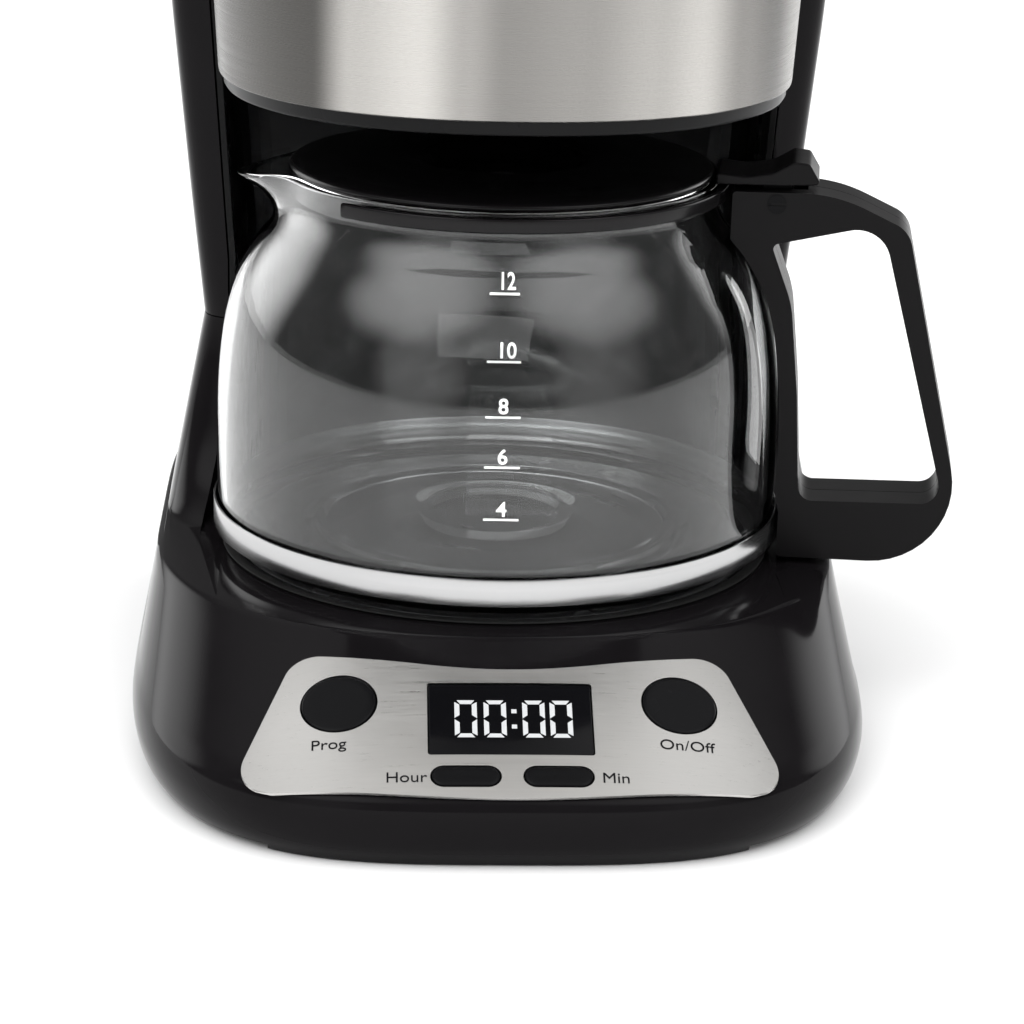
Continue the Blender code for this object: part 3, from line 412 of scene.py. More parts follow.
# Each plastic: name, dark tone, light tone, roughness range, grain scale, grain depth in metres, specular.
GLOSS = plastic("gloss_black_shell", (0.0045, 0.004, 0.0045), (0.007, 0.0062, 0.007),
                (0.07, 0.13), 900.0, 0.000004, 0.07)
SATIN = plastic("satin_black_handle", (0.004, 0.0037, 0.004), (0.006, 0.0056, 0.006),
                (0.30, 0.40), 2600.0, 0.00002, 0.1)
LID_LOOK = plastic("lid_black", (0.004, 0.0037, 0.004), (0.006, 0.0056, 0.006),
                   (0.16, 0.26), 1800.0, 0.00001, 0.2)
DARK = plastic("inner_black", (0.004, 0.004, 0.0045), (0.008, 0.008, 0.008),
               (0.24, 0.36), 1500.0, 0.00001, 0.1)
RUBBER = plastic("black_rubber", (0.008, 0.008, 0.008), (0.014, 0.014, 0.014),
                 (0.6, 0.8), 1800.0, 0.00006, 0.3)
SILICONE = plastic("milky_silicone", (0.60, 0.60, 0.57), (0.72, 0.72, 0.69), (0.4, 0.55), 900.0, 0.00003)
TANK_LOOK = plastic("tank_grey", (0.10, 0.105, 0.11), (0.14, 0.145, 0.15), (0.22, 0.35), 1200.0, 0.00002)
BOARD_LOOK = plastic("green_board", (0.008, 0.06, 0.02), (0.014, 0.09, 0.03), (0.3, 0.4), 2200.0, 0.00003)
BUTTON_LOOK = plastic("button_black", (0.004, 0.004, 0.0044), (0.006, 0.006, 0.0066),
                      (0.2, 0.3), 1800.0, 0.00001, 0.06)
PLATE_LOOK = plastic("coated_plate", (0.010, 0.010, 0.011), (0.018, 0.018, 0.019),
                     (0.16, 0.3), 1400.0, 0.00004, 0.5)
WINDOW_LOOK = plastic("display_glass", (0.003, 0.003, 0.0035), (0.005, 0.005, 0.006),
                      (0.03, 0.07), 400.0, 0.000002, 0.14)
INK_LOOK = plastic("black_ink", (0.006, 0.006, 0.007), (0.010, 0.010, 0.011),
                   (0.45, 0.6), 2000.0, 0.00001, 0.05)
# Each metal: name, dark tone, light tone, roughness range, stretch of the brushing, depth, anisotropy.
STEEL_FRONT_PAINTED_REFLECTIONS = metal("brushed_steel_front_painted_reflections", (0.48, 0.472, 0.46), (0.60, 0.592, 0.575),
                    (0.20, 0.34), (5.0, 5.0, 1900.0), 0.00002, 0.6)
STEEL_PANEL = metal("brushed_steel_panel", (0.52, 0.512, 0.497), (0.62, 0.61, 0.592),
                    (0.26, 0.40), (7.0, 1700.0, 1700.0), 0.00002, 0.4)
STEEL_BAND = metal("steel_band_metal", (0.40, 0.40, 0.405), (0.56, 0.56, 0.56),
                   (0.14, 0.24), (5.0, 5.0, 1500.0), 0.00001, 0.4)
STEEL_PLAIN = metal("plain_steel_rods", (0.42, 0.42, 0.42), (0.58, 0.58, 0.57),
                    (0.22, 0.38), (900.0, 900.0, 900.0), 0.00001, 0.0)
ALUMINIUM = metal("cast_aluminium", (0.52, 0.52, 0.53), (0.66, 0.66, 0.67),
                  (0.38, 0.55), (700.0, 700.0, 700.0), 0.00004, 0.0)
GLASS_LOOK = clear_glass("carafe_glass_clear", (0.90, 0.915, 0.915), 0.03)
# The white print glows through emission: painted light, since print gives off none of its own.
PRINT_PAINTED_GLOW_LOOK = glow("white_print_painted_glow", (0.86, 0.87, 0.86), 0.35)
DIGIT_LOOK = glow("clock_light", (0.50, 0.51, 0.52), 0.18)
# Painted reflections on the steel front: light and dark upright bands put into its base colour across its width.
FRONT_PAINTED_REFLECTION_TONES = [
    (-1.0, 0.5), (-0.88, 0.2), (-0.62, 0.15), (-0.5, 0.72), (-0.3, 0.9), (-0.16, 0.55), (-0.04, 0.38),
    (0.2, 0.46), (0.42, 0.66), (0.56, 0.85), (0.7, 0.42), (0.82, 0.24), (0.9, 0.5), (1.0, 0.2)]
add_bands(STEEL_FRONT_PAINTED_REFLECTIONS, AXIS.x, 0.082, FRONT_PAINTED_REFLECTION_TONES)


# ---------------------------------------------------------------- outlines shared by the shells

def signed_power(value, power):
    return math.copysign(abs(value) ** power, value)


def oval(z, half_width, middle, front, rear, front_power, rear_power, inset=0.0, count=RING_POINTS):
    half_width -= inset
    points = []
    for i in range(count):
        angle = math.tau * i / count
        across, along = math.sin(angle), math.cos(angle)
        power = 2.0 / (front_power if along > 0 else rear_power)
        reach = (middle - front if along > 0 else rear - middle) - inset
        points.append((half_width * signed_power(across, power),
                       middle - reach * signed_power(along, power), z))
    return points


def blend(low, high, t):
    return [tuple(a + (b - a) * t for a, b in zip(p, q)) for p, q in zip(low, high)]


def table_value(table, z):
    for (z0, v0), (z1, v1) in zip(table, table[1:]):
        if z <= z1:
            return v0 + (v1 - v0) * max(z - z0, 0.0) / (z1 - z0)
    return table[-1][1]


COLUMN_HALF_WIDTHS = [(44.0, 92.6), (WAIST_Z, 82.4), (130.0, 85.8), (186.0, 91.2), (240.0, 95.2),
                      (290.0, 97.6), (COLUMN_TOP_Z, 98.2)]
BAY_HALF_WIDTHS = [(115.0, 75.3), (173.0, 79.2), (240.0, 83.6), (COLUMN_TOP_Z, 88.2)]
SKIRT = [(0.4, 95.0, -128.6), (5.2, 98.4, -132.2), (12.0, 99.6, -133.8), (17.6, 98.4, -133.6)]
SKIRT_STEPS = [((-120, -96, -5), (120, 140, 2.2)), ((-120, -150, -5), (-60, -90, 2.2)),
               ((60, -150, -5), (120, -90, 2.2))]
SKIRT_POWER = 3.3
SHOULDER_POWER = 2.5


def column_ring(z, front, inset=0.0):
    return oval(z, table_value(COLUMN_HALF_WIDTHS, z), 50.0, front, REAR_Y, 5.0, 5.0, inset)


def skirt_ring(z, half_width, front, inset=0.0):
    return oval(z, half_width, 10.0, front, REAR_Y, SKIRT_POWER, 6.0, inset)


def slope_ring(t, inset=0.0):
    foot = skirt_ring(SLOPE_FOOT_Z - inset * 0.4, 97.8, PANEL_FOOT.y, inset)
    top = oval(DECK_Z - 1.0 - inset, 93.8, 10.0, -85.5, REAR_Y, SHOULDER_POWER, 6.0, inset)
    return blend(foot, top, t)


def slope_point(t, angle):
    across, along = math.sin(angle), math.cos(angle)
    foot = Vector((97.8 * signed_power(across, 2 / SKIRT_POWER),
                   10.0 - (10.0 - PANEL_FOOT.y) * signed_power(along, 2 / SKIRT_POWER), SLOPE_FOOT_Z))
    top = Vector((93.8 * signed_power(across, 2 / SHOULDER_POWER),
                  10.0 - 95.5 * signed_power(along, 2 / SHOULDER_POWER), DECK_Z - 1.0))
    return foot.lerp(top, t)


def panel_spot(x, s):
    """The point of the slope x from the middle and s up the panel, and its outward normal."""
    up = Vector((0.0, math.cos(PANEL_TILT), math.sin(PANEL_TILT)))
    t = s / 54.0
    for _ in range(12):
        low, high = 0.0, math.pi / 2
        for _ in range(26):
            middle = (low + high) / 2
            if slope_point(t, middle).x < abs(x):
                low = middle
            else:
                high = middle
        point = slope_point(t, low)
        t += (s - (point - PANEL_FOOT).dot(up)) / 54.0
    along = slope_point(t + 0.02, low) - slope_point(t - 0.02, low)
    across = slope_point(t, low + 0.02) - slope_point(t, low - 0.02)
    normal = across.cross(along).normalized()
    if x < 0:
        point.x, normal.x = -point.x, -normal.x
    return point, normal


def on_slope(point):
    """A point of the flat plane that the panel's outline is drawn in: across, up the slope, and off it."""
    return PANEL_FOOT + Matrix.Rotation(PANEL_TILT, 3, "X") @ Vector(point)


def bay_space(name, low, high, rim):
    levels = sorted({low, high, *(z for z, _ in BAY_HALF_WIDTHS if low < z < high)})
    rings = []
    for z in levels:
        half = table_value(BAY_HALF_WIDTHS, z)
        back = BAY_BACK_Y + 2.6
        outline = rounded([(-half, -150.0, 1.0), (half, -150.0, 1.0),
                           (half, back, 12.0), (-half, back, 12.0)])
        rings.append([(x, y, z) for x, y in outline])
    space = loft(name, rings)
    if rim:
        wall = [(BAY_RIM_R, low + 0.01), (BAY_RIM_R, high + 3)]
        cut(space, turned_piece(name + "_rim", wall, 128, closed=False), "UNION")
    return space


# ---------------------------------------------------------------- base and column

STEM_R = {"prog_button": 3.8, "on_off_button": 3.8, "hour_button": 2.3, "min_button": 2.3}


def button_spots():
    x, s, _ = ROUND_BUTTON
    u, v, _, _ = OVAL_BUTTON
    return [("prog_button", -x, s), ("on_off_button", x, s), ("hour_button", -u, v), ("min_button", u, v)]


def button_frame(x, s):
    point, normal = panel_spot(x, s)
    across = Vector((1.0, 0.0, 0.0))
    across = (across - normal * across.dot(normal)).normalized()
    turn = Matrix((across, normal.cross(across), normal)).transposed()
    return lambda uvw: point + turn @ Vector(uvw)


def button_outline(name, grow=0.0):
    if name in ("prog_button", "on_off_button"):
        return arc((0, 0), ROUND_BUTTON[2] + grow, 0, 360, 72)[:-1]
    half, radius = OVAL_BUTTON[2] + grow, OVAL_BUTTON[3] + grow
    return arc((half - radius, 0), radius, -90, 90, 18) + arc((radius - half, 0), radius, 90, 270, 18)


def base_shell():
    """The base with its skirt, sloping front, wells and the foot of the column."""
    rings = [skirt_ring(*row) for row in soft(SKIRT, 3.0, 3, False)]
    rings += [slope_ring(t / 8) for t in range(0, 9)]
    rings.append(oval(DECK_Z - 0.3, 93.0, 10.0, -84.2, REAR_Y, SHOULDER_POWER, 6.0))
    rings.append(oval(DECK_Z, 92.2, 10.0, -83.2, REAR_Y, SHOULDER_POWER, 6.0))
    fronts = [(DECK_Z + 0.5, -6.0), (45.6, 0.5), (48.0, 6.0), (50.6, 11.0), (54.0, 15.0), (58.5, 19.0),
              (64.0, 22.0), (71.0, 24.6), (80.0, 26.5), (89.0, 27.6), (WAIST_Z, 28.0)]
    rings += [column_ring(z, front) for z, front in fronts]
    shell = loft("base_shell", rings)
    floor = [skirt_ring(-1.0, 95.4, -129.0, SKIN)]
    floor += [skirt_ring(z, half - 0.4, front, SKIN) for z, half, front in SKIRT[1:]]
    floor += [slope_ring(0.0, SKIN), slope_ring(1.0, SKIN)]
    cut(shell, loft("base_room", floor))
    for low, high in SKIRT_STEPS:
        cut(shell, block("skirt_step", low, high))
    tower = loft("tower_room", [column_ring(30.0, 33.0, SKIN), column_ring(70.0, 29.0, SKIN),
                                column_ring(110.0, 29.0, SKIN)])
    cut(tower, block("deck_keep", (-76.5, 0.0, 20.0), (76.5, 89.0, DECK_Z + 2.0)))
    cut(shell, tower)
    cut(shell, bay_space("bay_low", DECK_Z, WAIST_Z + 10.0, True))
    cut(shell, turned_piece("plate_hole", [(PLATE_R + 1.6, 38.0), (PLATE_R + 1.6, 60.0)], 128, closed=False))
    cut(shell, rod("gland_hole", 6.4, (60, 118, 24), (60, 140, 24)))
    for name, x, s in button_spots():
        lay = button_frame(x, s)
        cut(shell, slab(name + "_well", [button_outline(name, WELL_GROW)], -WELL_DEPTH, 6.0, lay))
        cut(shell, rod(name + "_hole", STEM_R[name] + 0.6, lay((0, 0, -8)), lay((0, 0, 5))))
    half_x, half_s = DISPLAY_SIZE[0] / 2 - 0.3, DISPLAY_SIZE[1] / 2 - 0.3
    edge = [(-half_x, DISPLAY_S - half_s), (half_x, DISPLAY_S - half_s),
            (half_x, DISPLAY_S + half_s), (-half_x, DISPLAY_S + half_s)]
    cut(shell, slab("display_well", [edge], -12.0, 8.0, on_slope))
    dress(shell, "machine", GLOSS, ["base_housing"], 0.7)


def column_shell():
    """The hollow column behind the carafe, with its bay and window slot."""
    zs = [WAIST_Z + GAP + i * (COLUMN_TOP_Z - WAIST_Z - GAP) / 26 for i in range(27)]
    shell = loft("column_shell", [column_ring(z, 28.0) for z in zs])
    room = [column_ring(z, 28.0, SKIN) for z in (90.0, *zs[1:-1], 330.0)]
    cut(shell, loft("column_room", room))
    cut(shell, bay_space("bay_high", 90.0, 330.0, False))
    slot_outline = rounded([(106, 130, 4), (114, 130, 4), (114, 290, 4), (106, 290, 4)])
    cut(shell, slab("window_slot", [slot_outline], 76.0, 106.0, lambda uvw: Vector((uvw[2], uvw[0], uvw[1]))))
    y, z = LID_HINGE
    for side in (-1, 1):
        low, high = sorted((side * 14.0, side * 28.0))
        cut(shell, rod("knuckle", 3.2, (low, y, z), (high, y, z)), "UNION")
        cut(shell, block("knuckle_leg", (low, y - 2.0, z - 8.0), (high, y + 2.0, z - 0.5)), "UNION")
    dress(shell, "machine", GLOSS, ["column_housing"], 0.6)


# ---------------------------------------------------------------- brew head

def head_ring(z, inset=0.0, count=192):
    grow = z - HEAD_BOTTOM_Z
    return oval(z, 76.3 + 0.06 * grow, 0.0, -79.0 - 0.04 * grow, 55.0, 2.2, 2.2, inset, count)


def steel_front():
    """The curved steel sheet, folded in along its lower edge."""
    half = 48
    bm = bmesh.new()
    rows = []
    for z, inset in ((176.0, 0.75), (175.8, 0.4), (176.1, 0.1), (176.8, 0.0), (200.0, 0.0), (225.0, 0.0),
                     (250.0, 0.0), (275.0, 0.0), (294.2, 0.0), (294.9, 0.2), (295.0, 0.6)):
        ring = head_ring(z, inset)
        rows.append([bm.verts.new(spot(p)) for p in ring[-half:] + ring[:half + 1]])
    for low, high in zip(rows, rows[1:]):
        for i in range(len(low) - 1):
            bm.faces.new((low[i], low[i + 1], high[i + 1], high[i]))
    sheet = piece_from(bm, "steel_front")
    wall = sheet.modifiers.new("wall", "SOLIDIFY")
    wall.thickness = 0.7 * MM
    wall.offset = -1.0
    # The sheet's material carries painted reflections: light and dark upright bands in its base colour.
    dress(sheet, "brew_unit", STEEL_FRONT_PAINTED_REFLECTIONS, ["steel_cladding"])


def holder_shell():
    """The swing-out holder behind the steel front, with its outlet cone."""
    inset = 1.25
    levels = [(172.0, inset + 1.2), (172.3, inset + 0.4), (173.0, inset), (200.0, inset), (235.0, inset),
              (270.0, inset), (295.6, inset), (296.4, inset + 0.6)]
    shell = loft("holder_shell", [head_ring(z, off) for z, off in levels])
    cut(shell, loft("holder_room", [head_ring(z, inset + 2.4) for z in (176.0, 200.0, 235.0, 270.0, 310.0)]))
    cut(shell, rod("barrel", 6.0, (*SWING_AXIS, 172.2), (*SWING_AXIS, 296.2)), "UNION")
    cut(shell, rod("barrel_hole", 2.4, (*SWING_AXIS, 160.0), (*SWING_AXIS, 310.0)))
    cone = [(1.0, 173.0), (44.0, 173.0), (44.0, 171.0), (16.0, 166.4), (14.0, 164.6), (1.0, 164.6)]
    cut(shell, turned_piece("cone", soft(cone, 1.0, 3, False), 96, closed=False), "UNION")
    outlet = [(40.6, 190), (40.6, 172.6), (12.4, 168.4), (11.5, 160)]
    cut(shell, turned_piece("outlet", outlet, 96, closed=False))
    dress(shell, "brew_unit", DARK, ["basket_holder"], 0.4)


def cap_ring(z, inset):
    grow = z - HEAD_BOTTOM_Z
    return oval(z, 76.3 + 0.06 * grow, 0.0, -79.0 - 0.04 * grow, 30.0, 2.2, 16.0, inset, 192)


def head_cap_shell():
    """The fixed cap over the brew unit."""
    levels = [(297.2, 0.4), (297.8, 0.0), (312.0, 0.0), (320.0, 0.1), (324.0, 0.6), (328.0, 1.7),
              (331.0, 3.3), (333.3, 5.8), (334.2, 8.6), (334.5, 12.0)]
    cap = loft("head_cap_shell", [cap_ring(*level) for level in levels])
    bridge = loft("bridge", [[(x, y, z) for x, y in rounded([(-86, 10, 3), (86, 10, 3), (86, 83.5, 10),
                                                             (-86, 83.5, 10)])] for z in (297.2, 315.5)])
    cut(cap, bridge, "UNION")
    room = ((299.7, 2.5), (312.0, 2.5), (324.0, 3.1), (331.0, 7.5))
    cut(cap, loft("cap_room", [cap_ring(*level) for level in room]))
    cut(cap, turned_piece("shower_hole", [(38.0, 290), (38.0, 303)], 96, closed=False))
    cut(cap, block("bridge_room", (-82.0, 20.0, 299.7), (82.0, 90.0, 313.0)))
    dress(cap, "machine", GLOSS, ["head_cap"], 0.5)


def top_lid_shell():
    """The lid over the water tank, with the barrels of its hinge."""
    def ring(z, inset):
        return oval(z, 98.0, 75.0, 30.5, 129.0, 16.0, 5.0, inset, 192)
    levels = [(COLUMN_TOP_Z + GAP, 0.6), (317.5, 0.2), (324.0, 0.0), (328.0, 0.9), (331.0, 2.5), (333.3, 5.4),
              (334.2, 8.4), (334.5, 12.0)]
    lid = loft("top_lid_shell", [ring(*level) for level in levels])
    cut(lid, loft("lid_room", [ring(310.0, 3.0), ring(324.0, 3.0), ring(331.5, 8.0)]))
    y, z = LID_HINGE
    cut(lid, block("lid_notch", (-28.5, y - 5.0, 310), (28.5, y + 6.0, z + 4.5)))
    for side in (-1, 1):
        low, high = sorted((side * 28.5, side * 42.0))
        cut(lid, rod("lid_barrel", 3.2, (low, y, z), (high, y, z)), "UNION")
    dress(lid, "top_lid_body", GLOSS, ["top_lid"], 0.5)


# ---------------------------------------------------------------- hot plate

def hot_plate():
    profile = [(1.0, PLATE_TOP_Z - 0.8), (22.0, PLATE_TOP_Z - 0.8), (22.6, PLATE_TOP_Z - 0.5),
               (23.4, PLATE_TOP_Z - 0.5), (24.0, PLATE_TOP_Z - 0.8), (65.0, PLATE_TOP_Z - 0.8),
               (67.5, PLATE_TOP_Z - 0.05), (70.8, PLATE_TOP_Z), (71.7, PLATE_TOP_Z - 0.3),
               (PLATE_R, PLATE_TOP_Z - 1.1),
               (PLATE_R, 40.6), (PLATE_R - 1.2, 40.6), (PLATE_R - 1.2, 42.6), (1.0, 42.6)]
    dress(turned_piece("warming_plate", profile, 160, closed=False), "machine", PLATE_LOOK,
          ["hot_plate"])
    outer = PLATE_R + 3.6
    seal = soft([(outer, 45.1), (outer, 44.6), (PLATE_R + 1.2, 44.6), (PLATE_R + 1.2, 40.4),
                 (PLATE_R + 0.4, 40.4), (PLATE_R + 0.4, 45.1)], 0.35, 2)
    dress(turned_piece("plate_gasket", seal, 160), "machine", RUBBER, ["plate_seal"])


# ---------------------------------------------------------------- control panel

def panel_sheet():
    """The brushed sheet that follows the slope, cut to its outline with its holes."""
    count = 56
    layers = []
    for lift in (SHEET_LOW, SHEET_TOP):
        rows = []
        for j in range(22):
            t = -0.06 + 1.06 * j / 21
            row = []
            for i in range(-count, count + 1):
                angle = math.radians(67.5) * i / count
                point = slope_point(t, abs(angle))
                along = slope_point(t + 0.05, abs(angle)) - slope_point(t - 0.05, abs(angle))
                across = slope_point(t, abs(angle) + 0.03) - slope_point(t, abs(angle) - 0.03)
                point = point + across.cross(along).normalized() * lift
                row.append((math.copysign(point.x, angle), point.y, point.z))
            rows.append(row)
        layers.append(rows)
    sheet = loft("panel_sheet", [low + list(reversed(high)) for low, high in zip(*layers)])
    corners = [(-70.4, 5.4, 10), (0, -1.6, 300), (70.4, 5.4, 10),
               (54.0, 50.6, 8), (0, 40.3, 120), (-54.0, 50.6, 8)]
    cut(sheet, slab("panel_outline", [rounded(corners, 16)], -20.0, 14.0, on_slope), "INTERSECT")
    half_x, half_s = DISPLAY_SIZE[0] / 2, DISPLAY_SIZE[1] / 2
    hole = rounded([(-half_x, DISPLAY_S - half_s, 0.8), (half_x, DISPLAY_S - half_s, 0.8),
                    (half_x, DISPLAY_S + half_s, 0.8), (-half_x, DISPLAY_S + half_s, 0.8)], 4)
    cut(sheet, slab("display_hole", [hole], -12.0, 12.0, on_slope))
    for name, x, s in button_spots():
        cut(sheet, slab(name + "_hole", [button_outline(name, WELL_GROW)], -6.0, 6.0, button_frame(x, s)))
    dress(sheet, "machine", STEEL_PANEL, ["control_panel"], 0.22)


def button_caps():
    """The four buttons, each a soft-edged cap on its stem."""
    for name, x, s in button_spots():
        lay = button_frame(x, s)
        rings = []
        for w, grow in ((-0.3, 0.0), (0.9, 0.0), (1.3, -0.12), (1.5, -0.4), (1.56, -0.9), (1.5, -2.4)):
            rings.append([lay((u, v, w)) for u, v in button_outline(name, grow)])
        cap = loft(name + "_cap", rings)
        cut(cap, rod(name + "_stem", STEM_R[name], lay((0, 0, -STEM_LENGTH)), lay((0, 0, 0.4))), "UNION")
        dress(cap, name + "_body", BUTTON_LOOK, [name])


DIGIT_LEFTS = (-13.9, -6.6, 3.05, 9.9)
DIGIT_WIDTH = 5.6
DIGIT_HEIGHT = 12.3
DIGIT_BAR = 1.25
PANE_TOP = 0.9


def nought_bars():
    """The six lit bars of a nought from its lower left corner, cut at a slant where two meet."""
    miss, half = 0.2, DIGIT_HEIGHT / 2
    side = [(0.0, 0.6), (DIGIT_BAR, DIGIT_BAR + miss), (DIGIT_BAR, half - DIGIT_BAR), (0.0, half - miss)]
    end = [(0.6, 0.0), (DIGIT_WIDTH - 0.6, 0.0), (DIGIT_WIDTH - DIGIT_BAR - miss, DIGIT_BAR),
           (DIGIT_BAR + miss, DIGIT_BAR)]
    bars = []
    for flip_y in (False, True):
        rows = [end, side, [(DIGIT_WIDTH - x, y) for x, y in side]]
        bars += [[(x, DIGIT_HEIGHT - y if flip_y else y) for x, y in row] for row in rows]
    return bars


def display():
    """The dark pane and the clock's figures on it."""
    half_x, half_s = DISPLAY_SIZE[0] / 2 - GAP, DISPLAY_SIZE[1] / 2 - GAP
    outline = rounded([(-half_x, DISPLAY_S - half_s, 0.7), (half_x, DISPLAY_S - half_s, 0.7),
                       (half_x, DISPLAY_S + half_s, 0.7), (-half_x, DISPLAY_S + half_s, 0.7)], 4)
    pane = slab("display_pane", [outline], -1.6, PANE_TOP, on_slope)
    dress(pane, "machine", WINDOW_LOOK, ["display_window"], 0.25)

    middle = DISPLAY_S + 0.1
    bars = [[(left + x, middle - DIGIT_HEIGHT / 2 + y) for x, y in bar]
            for left in DIGIT_LEFTS for bar in nought_bars()]
    for low in (middle - 3.2, middle + 1.9):
        bars.append([(0.3, low), (1.6, low), (1.6, low + 1.3), (0.3, low + 1.3)])
    bm = bmesh.new()
    for bar in bars:
        bottom = [bm.verts.new(spot(on_slope((u, v, PANE_TOP + 0.01)))) for u, v in bar]
        top = [bm.verts.new(spot(on_slope((u, v, PANE_TOP + 0.07)))) for u, v in bar]
        bm.faces.new(top)
        bm.faces.new(list(reversed(bottom)))
        for i in range(4):
            j = (i + 1) % 4
            bm.faces.new((bottom[i], bottom[j], top[j], top[i]))
    dress(piece_from(bm, "clock_digits"), "machine", DIGIT_LOOK)


def panel_words():
    """The names beside the four buttons."""
    for text, x, s, size in (("Prog", -45.0, 18.4, 4.7), ("On/Off", 43.6, 18.4, 4.7),
                             ("Hour", -26.0, 6.5, 4.7), ("Min", 25.4, 6.5, 4.7)):
        def lay(uvw, x=x, s=s):
            point, normal = panel_spot(x + uvw[0], s + uvw[1])
            return point + normal * (SHEET_TOP + 0.01 + uvw[2])
        word = words(text, size, lay, "word_" + text.replace("/", "_").lower(), 0.05)
        dress(word, "machine", INK_LOOK)


# ---------------------------------------------------------------- carafe

GLASS_OUTER = [(22.0, 49.5), (34.0, 48.9), (48.0, 47.6), (53.0, 45.9), (58.0, 45.5), (66.0, 45.5), (71.5, 46.2),
               (74.0, 47.8), (75.4, 50.0), (76.6, 54.0), (77.0, 62.0), (77.1, 74.0), (77.0, 86.0), (76.3, 97.0),
               (74.6, 109.0), (71.6, 119.5), (66.9, 128.0), (61.6, 134.5), (59.2, 139.0), (58.5, 143.0),
               (58.8, 147.6), (58.4, RIM_Z)]


def smooth_line(points, per_span=4):
    """Points on a Catmull-Rom curve through the given ones."""
    points = [Vector(p) for p in points]
    ends = [points[0] * 2 - points[1]] + points + [points[-1] * 2 - points[-2]]
    route = []
    for before, start, end, after in zip(ends, ends[1:], ends[2:], ends[3:]):
        for step in range(per_span):
            t = step / per_span
            route.append(0.5 * (2 * start + (end - before) * t
                                + (2 * before - 5 * start + 4 * end - after) * t * t
                                + (3 * start - before - 3 * end + after) * t * t * t))
    return [tuple(p) for p in route] + [tuple(points[-1])]


def glass_point(radius, z, angle):
    spout = math.pi + HANDLE_TURN
    off = (angle - spout + math.pi) % math.tau - math.pi
    reach = max(0.0, min(1.0, (z - 133.0) / (RIM_Z - 133.0)))
    pull = math.exp(-(off / 0.24) ** 2) * reach ** 1.4
    radius += 14.0 * pull * min(1.0, radius / 50.0)
    return radius * math.cos(angle), radius * math.sin(angle), z - 3.5 * pull


def carafe_glass():
    outer = smooth_line(GLASS_OUTER, 3)
    inner = [(max(radius - GLASS, 0.0), z + 0.2) for radius, z in reversed(smooth_line(GLASS_OUTER[8:], 3))]
    inner[0] = (outer[-1][0] - 1.9, RIM_Z - 0.3)
    inner += [(73.4, 51.2), (70.5, 49.3), (66.0, 48.5), (56.0, 48.3), (52.0, 48.9), (50.0, 50.2), (48.2, 51.0),
              (46.2, 50.6), (44.0, 50.2), (34.0, 50.8), (24.0, 51.3), (21.6, 52.2), (19.6, 52.6)]
    count = 160
    rings = [[glass_point(radius, z, math.tau * i / count) for i in range(count)]
             for radius, z in outer + inner]
    centre_low = [circle(radius, z, count) for radius, z in ((2.0, 50.6), (12.0, 50.2))]
    centre_high = [circle(radius, z, count) for radius, z in ((17.0, 52.0), (2.0, 52.6))]
    glass = loft("glass_body", centre_low + rings + centre_high)
    dress(glass, "carafe", GLASS_LOOK, ["carafe_glass"], angle=60.0)


def on_glass(uvw, turn, z):
    """A point u along the glass, v up and w outwards from its straight wall."""
    radius = table_value([(height, r) for r, height in GLASS_OUTER[8:]], z + uvw[1]) + uvw[2]
    angle = turn + uvw[0] / 77.0
    return Vector((radius * math.cos(angle), radius * math.sin(angle), z + uvw[1]))


def glass_marks():
    """The numbers on the front of the glass, each over a short line."""
    for number, z in ((4, 73.3), (6, 87.1), (8, 100.0), (10, 113.8), (12, 129.6)):
        print_name = "mark_%d" % number
        shift = 0.0 if number < 10 else 0.6

        def lay(uvw, z=z):
            return on_glass(uvw, PRINT_TURN, z)

        def number_lay(uvw, z=z, shift=shift):
            return on_glass((uvw[0] + shift, uvw[1], uvw[2]), PRINT_TURN, z + 2.6)
        # The print's material glows: painted light.
        dress(words(str(number), 5.4, number_lay, print_name, 0.12, 0.018), "carafe", PRINT_PAINTED_GLOW_LOOK)
        edge = [(-4.6 + k, -0.28) for k in range(10)] + [(4.4 - k, 0.28) for k in range(10)]
        dress(slab(print_name + "_line", [edge], 0.08, 0.16, lay), "carafe", PRINT_PAINTED_GLOW_LOOK)


def carafe_trim():
    """The steel band round the foot and the collar round the neck."""
    band = soft([(78.1, 57.4), (78.1, 50.0), (77.5, 50.0), (77.5, 57.4)], 0.25, 2)
    dress(turned_piece("steel_band", band, 192), "carafe", STEEL_BAND, ["carafe_band"])
    section = soft([(61.4, 147.8), (61.4, 144.0), (59.5, 143.6), (59.5, 147.8)], 0.6, 3)
    collar = turned_piece("neck_ring", section, 192)
    gap = block("gap", (-80, -49, 130), (-33, 49, 160))
    turn = Matrix.Rotation(HANDLE_TURN, 4, "Z")
    gap.data.transform(Matrix.Translation(AXIS) @ turn @ Matrix.Translation(-AXIS))
    cut(collar, gap)
    dress(collar, "carafe", LID_LOOK, ["carafe_collar"], 0.3)


# ---------------------------------------------------------------- handle and lid

HANDLE_EDGE = [(62.3, 147.2, 1.0), (90.0, 147.5, 40.0), (109.8, 138.4, 8.0), (130.9, 46.2, 22.0),
               (78.6, 46.2, 1.0), (78.6, 60.4, 0.4)]
HANDLE_WINDOW = [(73.5, 133.1, 1.5), (102.7, 139.9, 9.0), (123.1, 63.3, 5.0), (83.9, 62.5, 4.0),
                 (82.2, 92.0, 40.0), (79.6, 117.0, 30.0)]
LEVER_EDGE = [(58.0, 148.8, 0.5), (76.0, 149.0, 20.0), (86.0, 149.6, 1.0), (82.6, 155.2, 1.5),
              (78.4, 155.6, 2.0), (73.0, 152.4, 6.0), (66.0, 151.2, 10.0), (58.0, 152.0, 1.0)]


def handle_lay(uvw):
    """A point rho out and z up in the handle's plane, w off it towards the front."""
    rho, z, off = uvw
    cos, sin = math.cos(HANDLE_TURN), math.sin(HANDLE_TURN)
    return Vector((rho * cos + off * sin, rho * sin - off * cos, z))


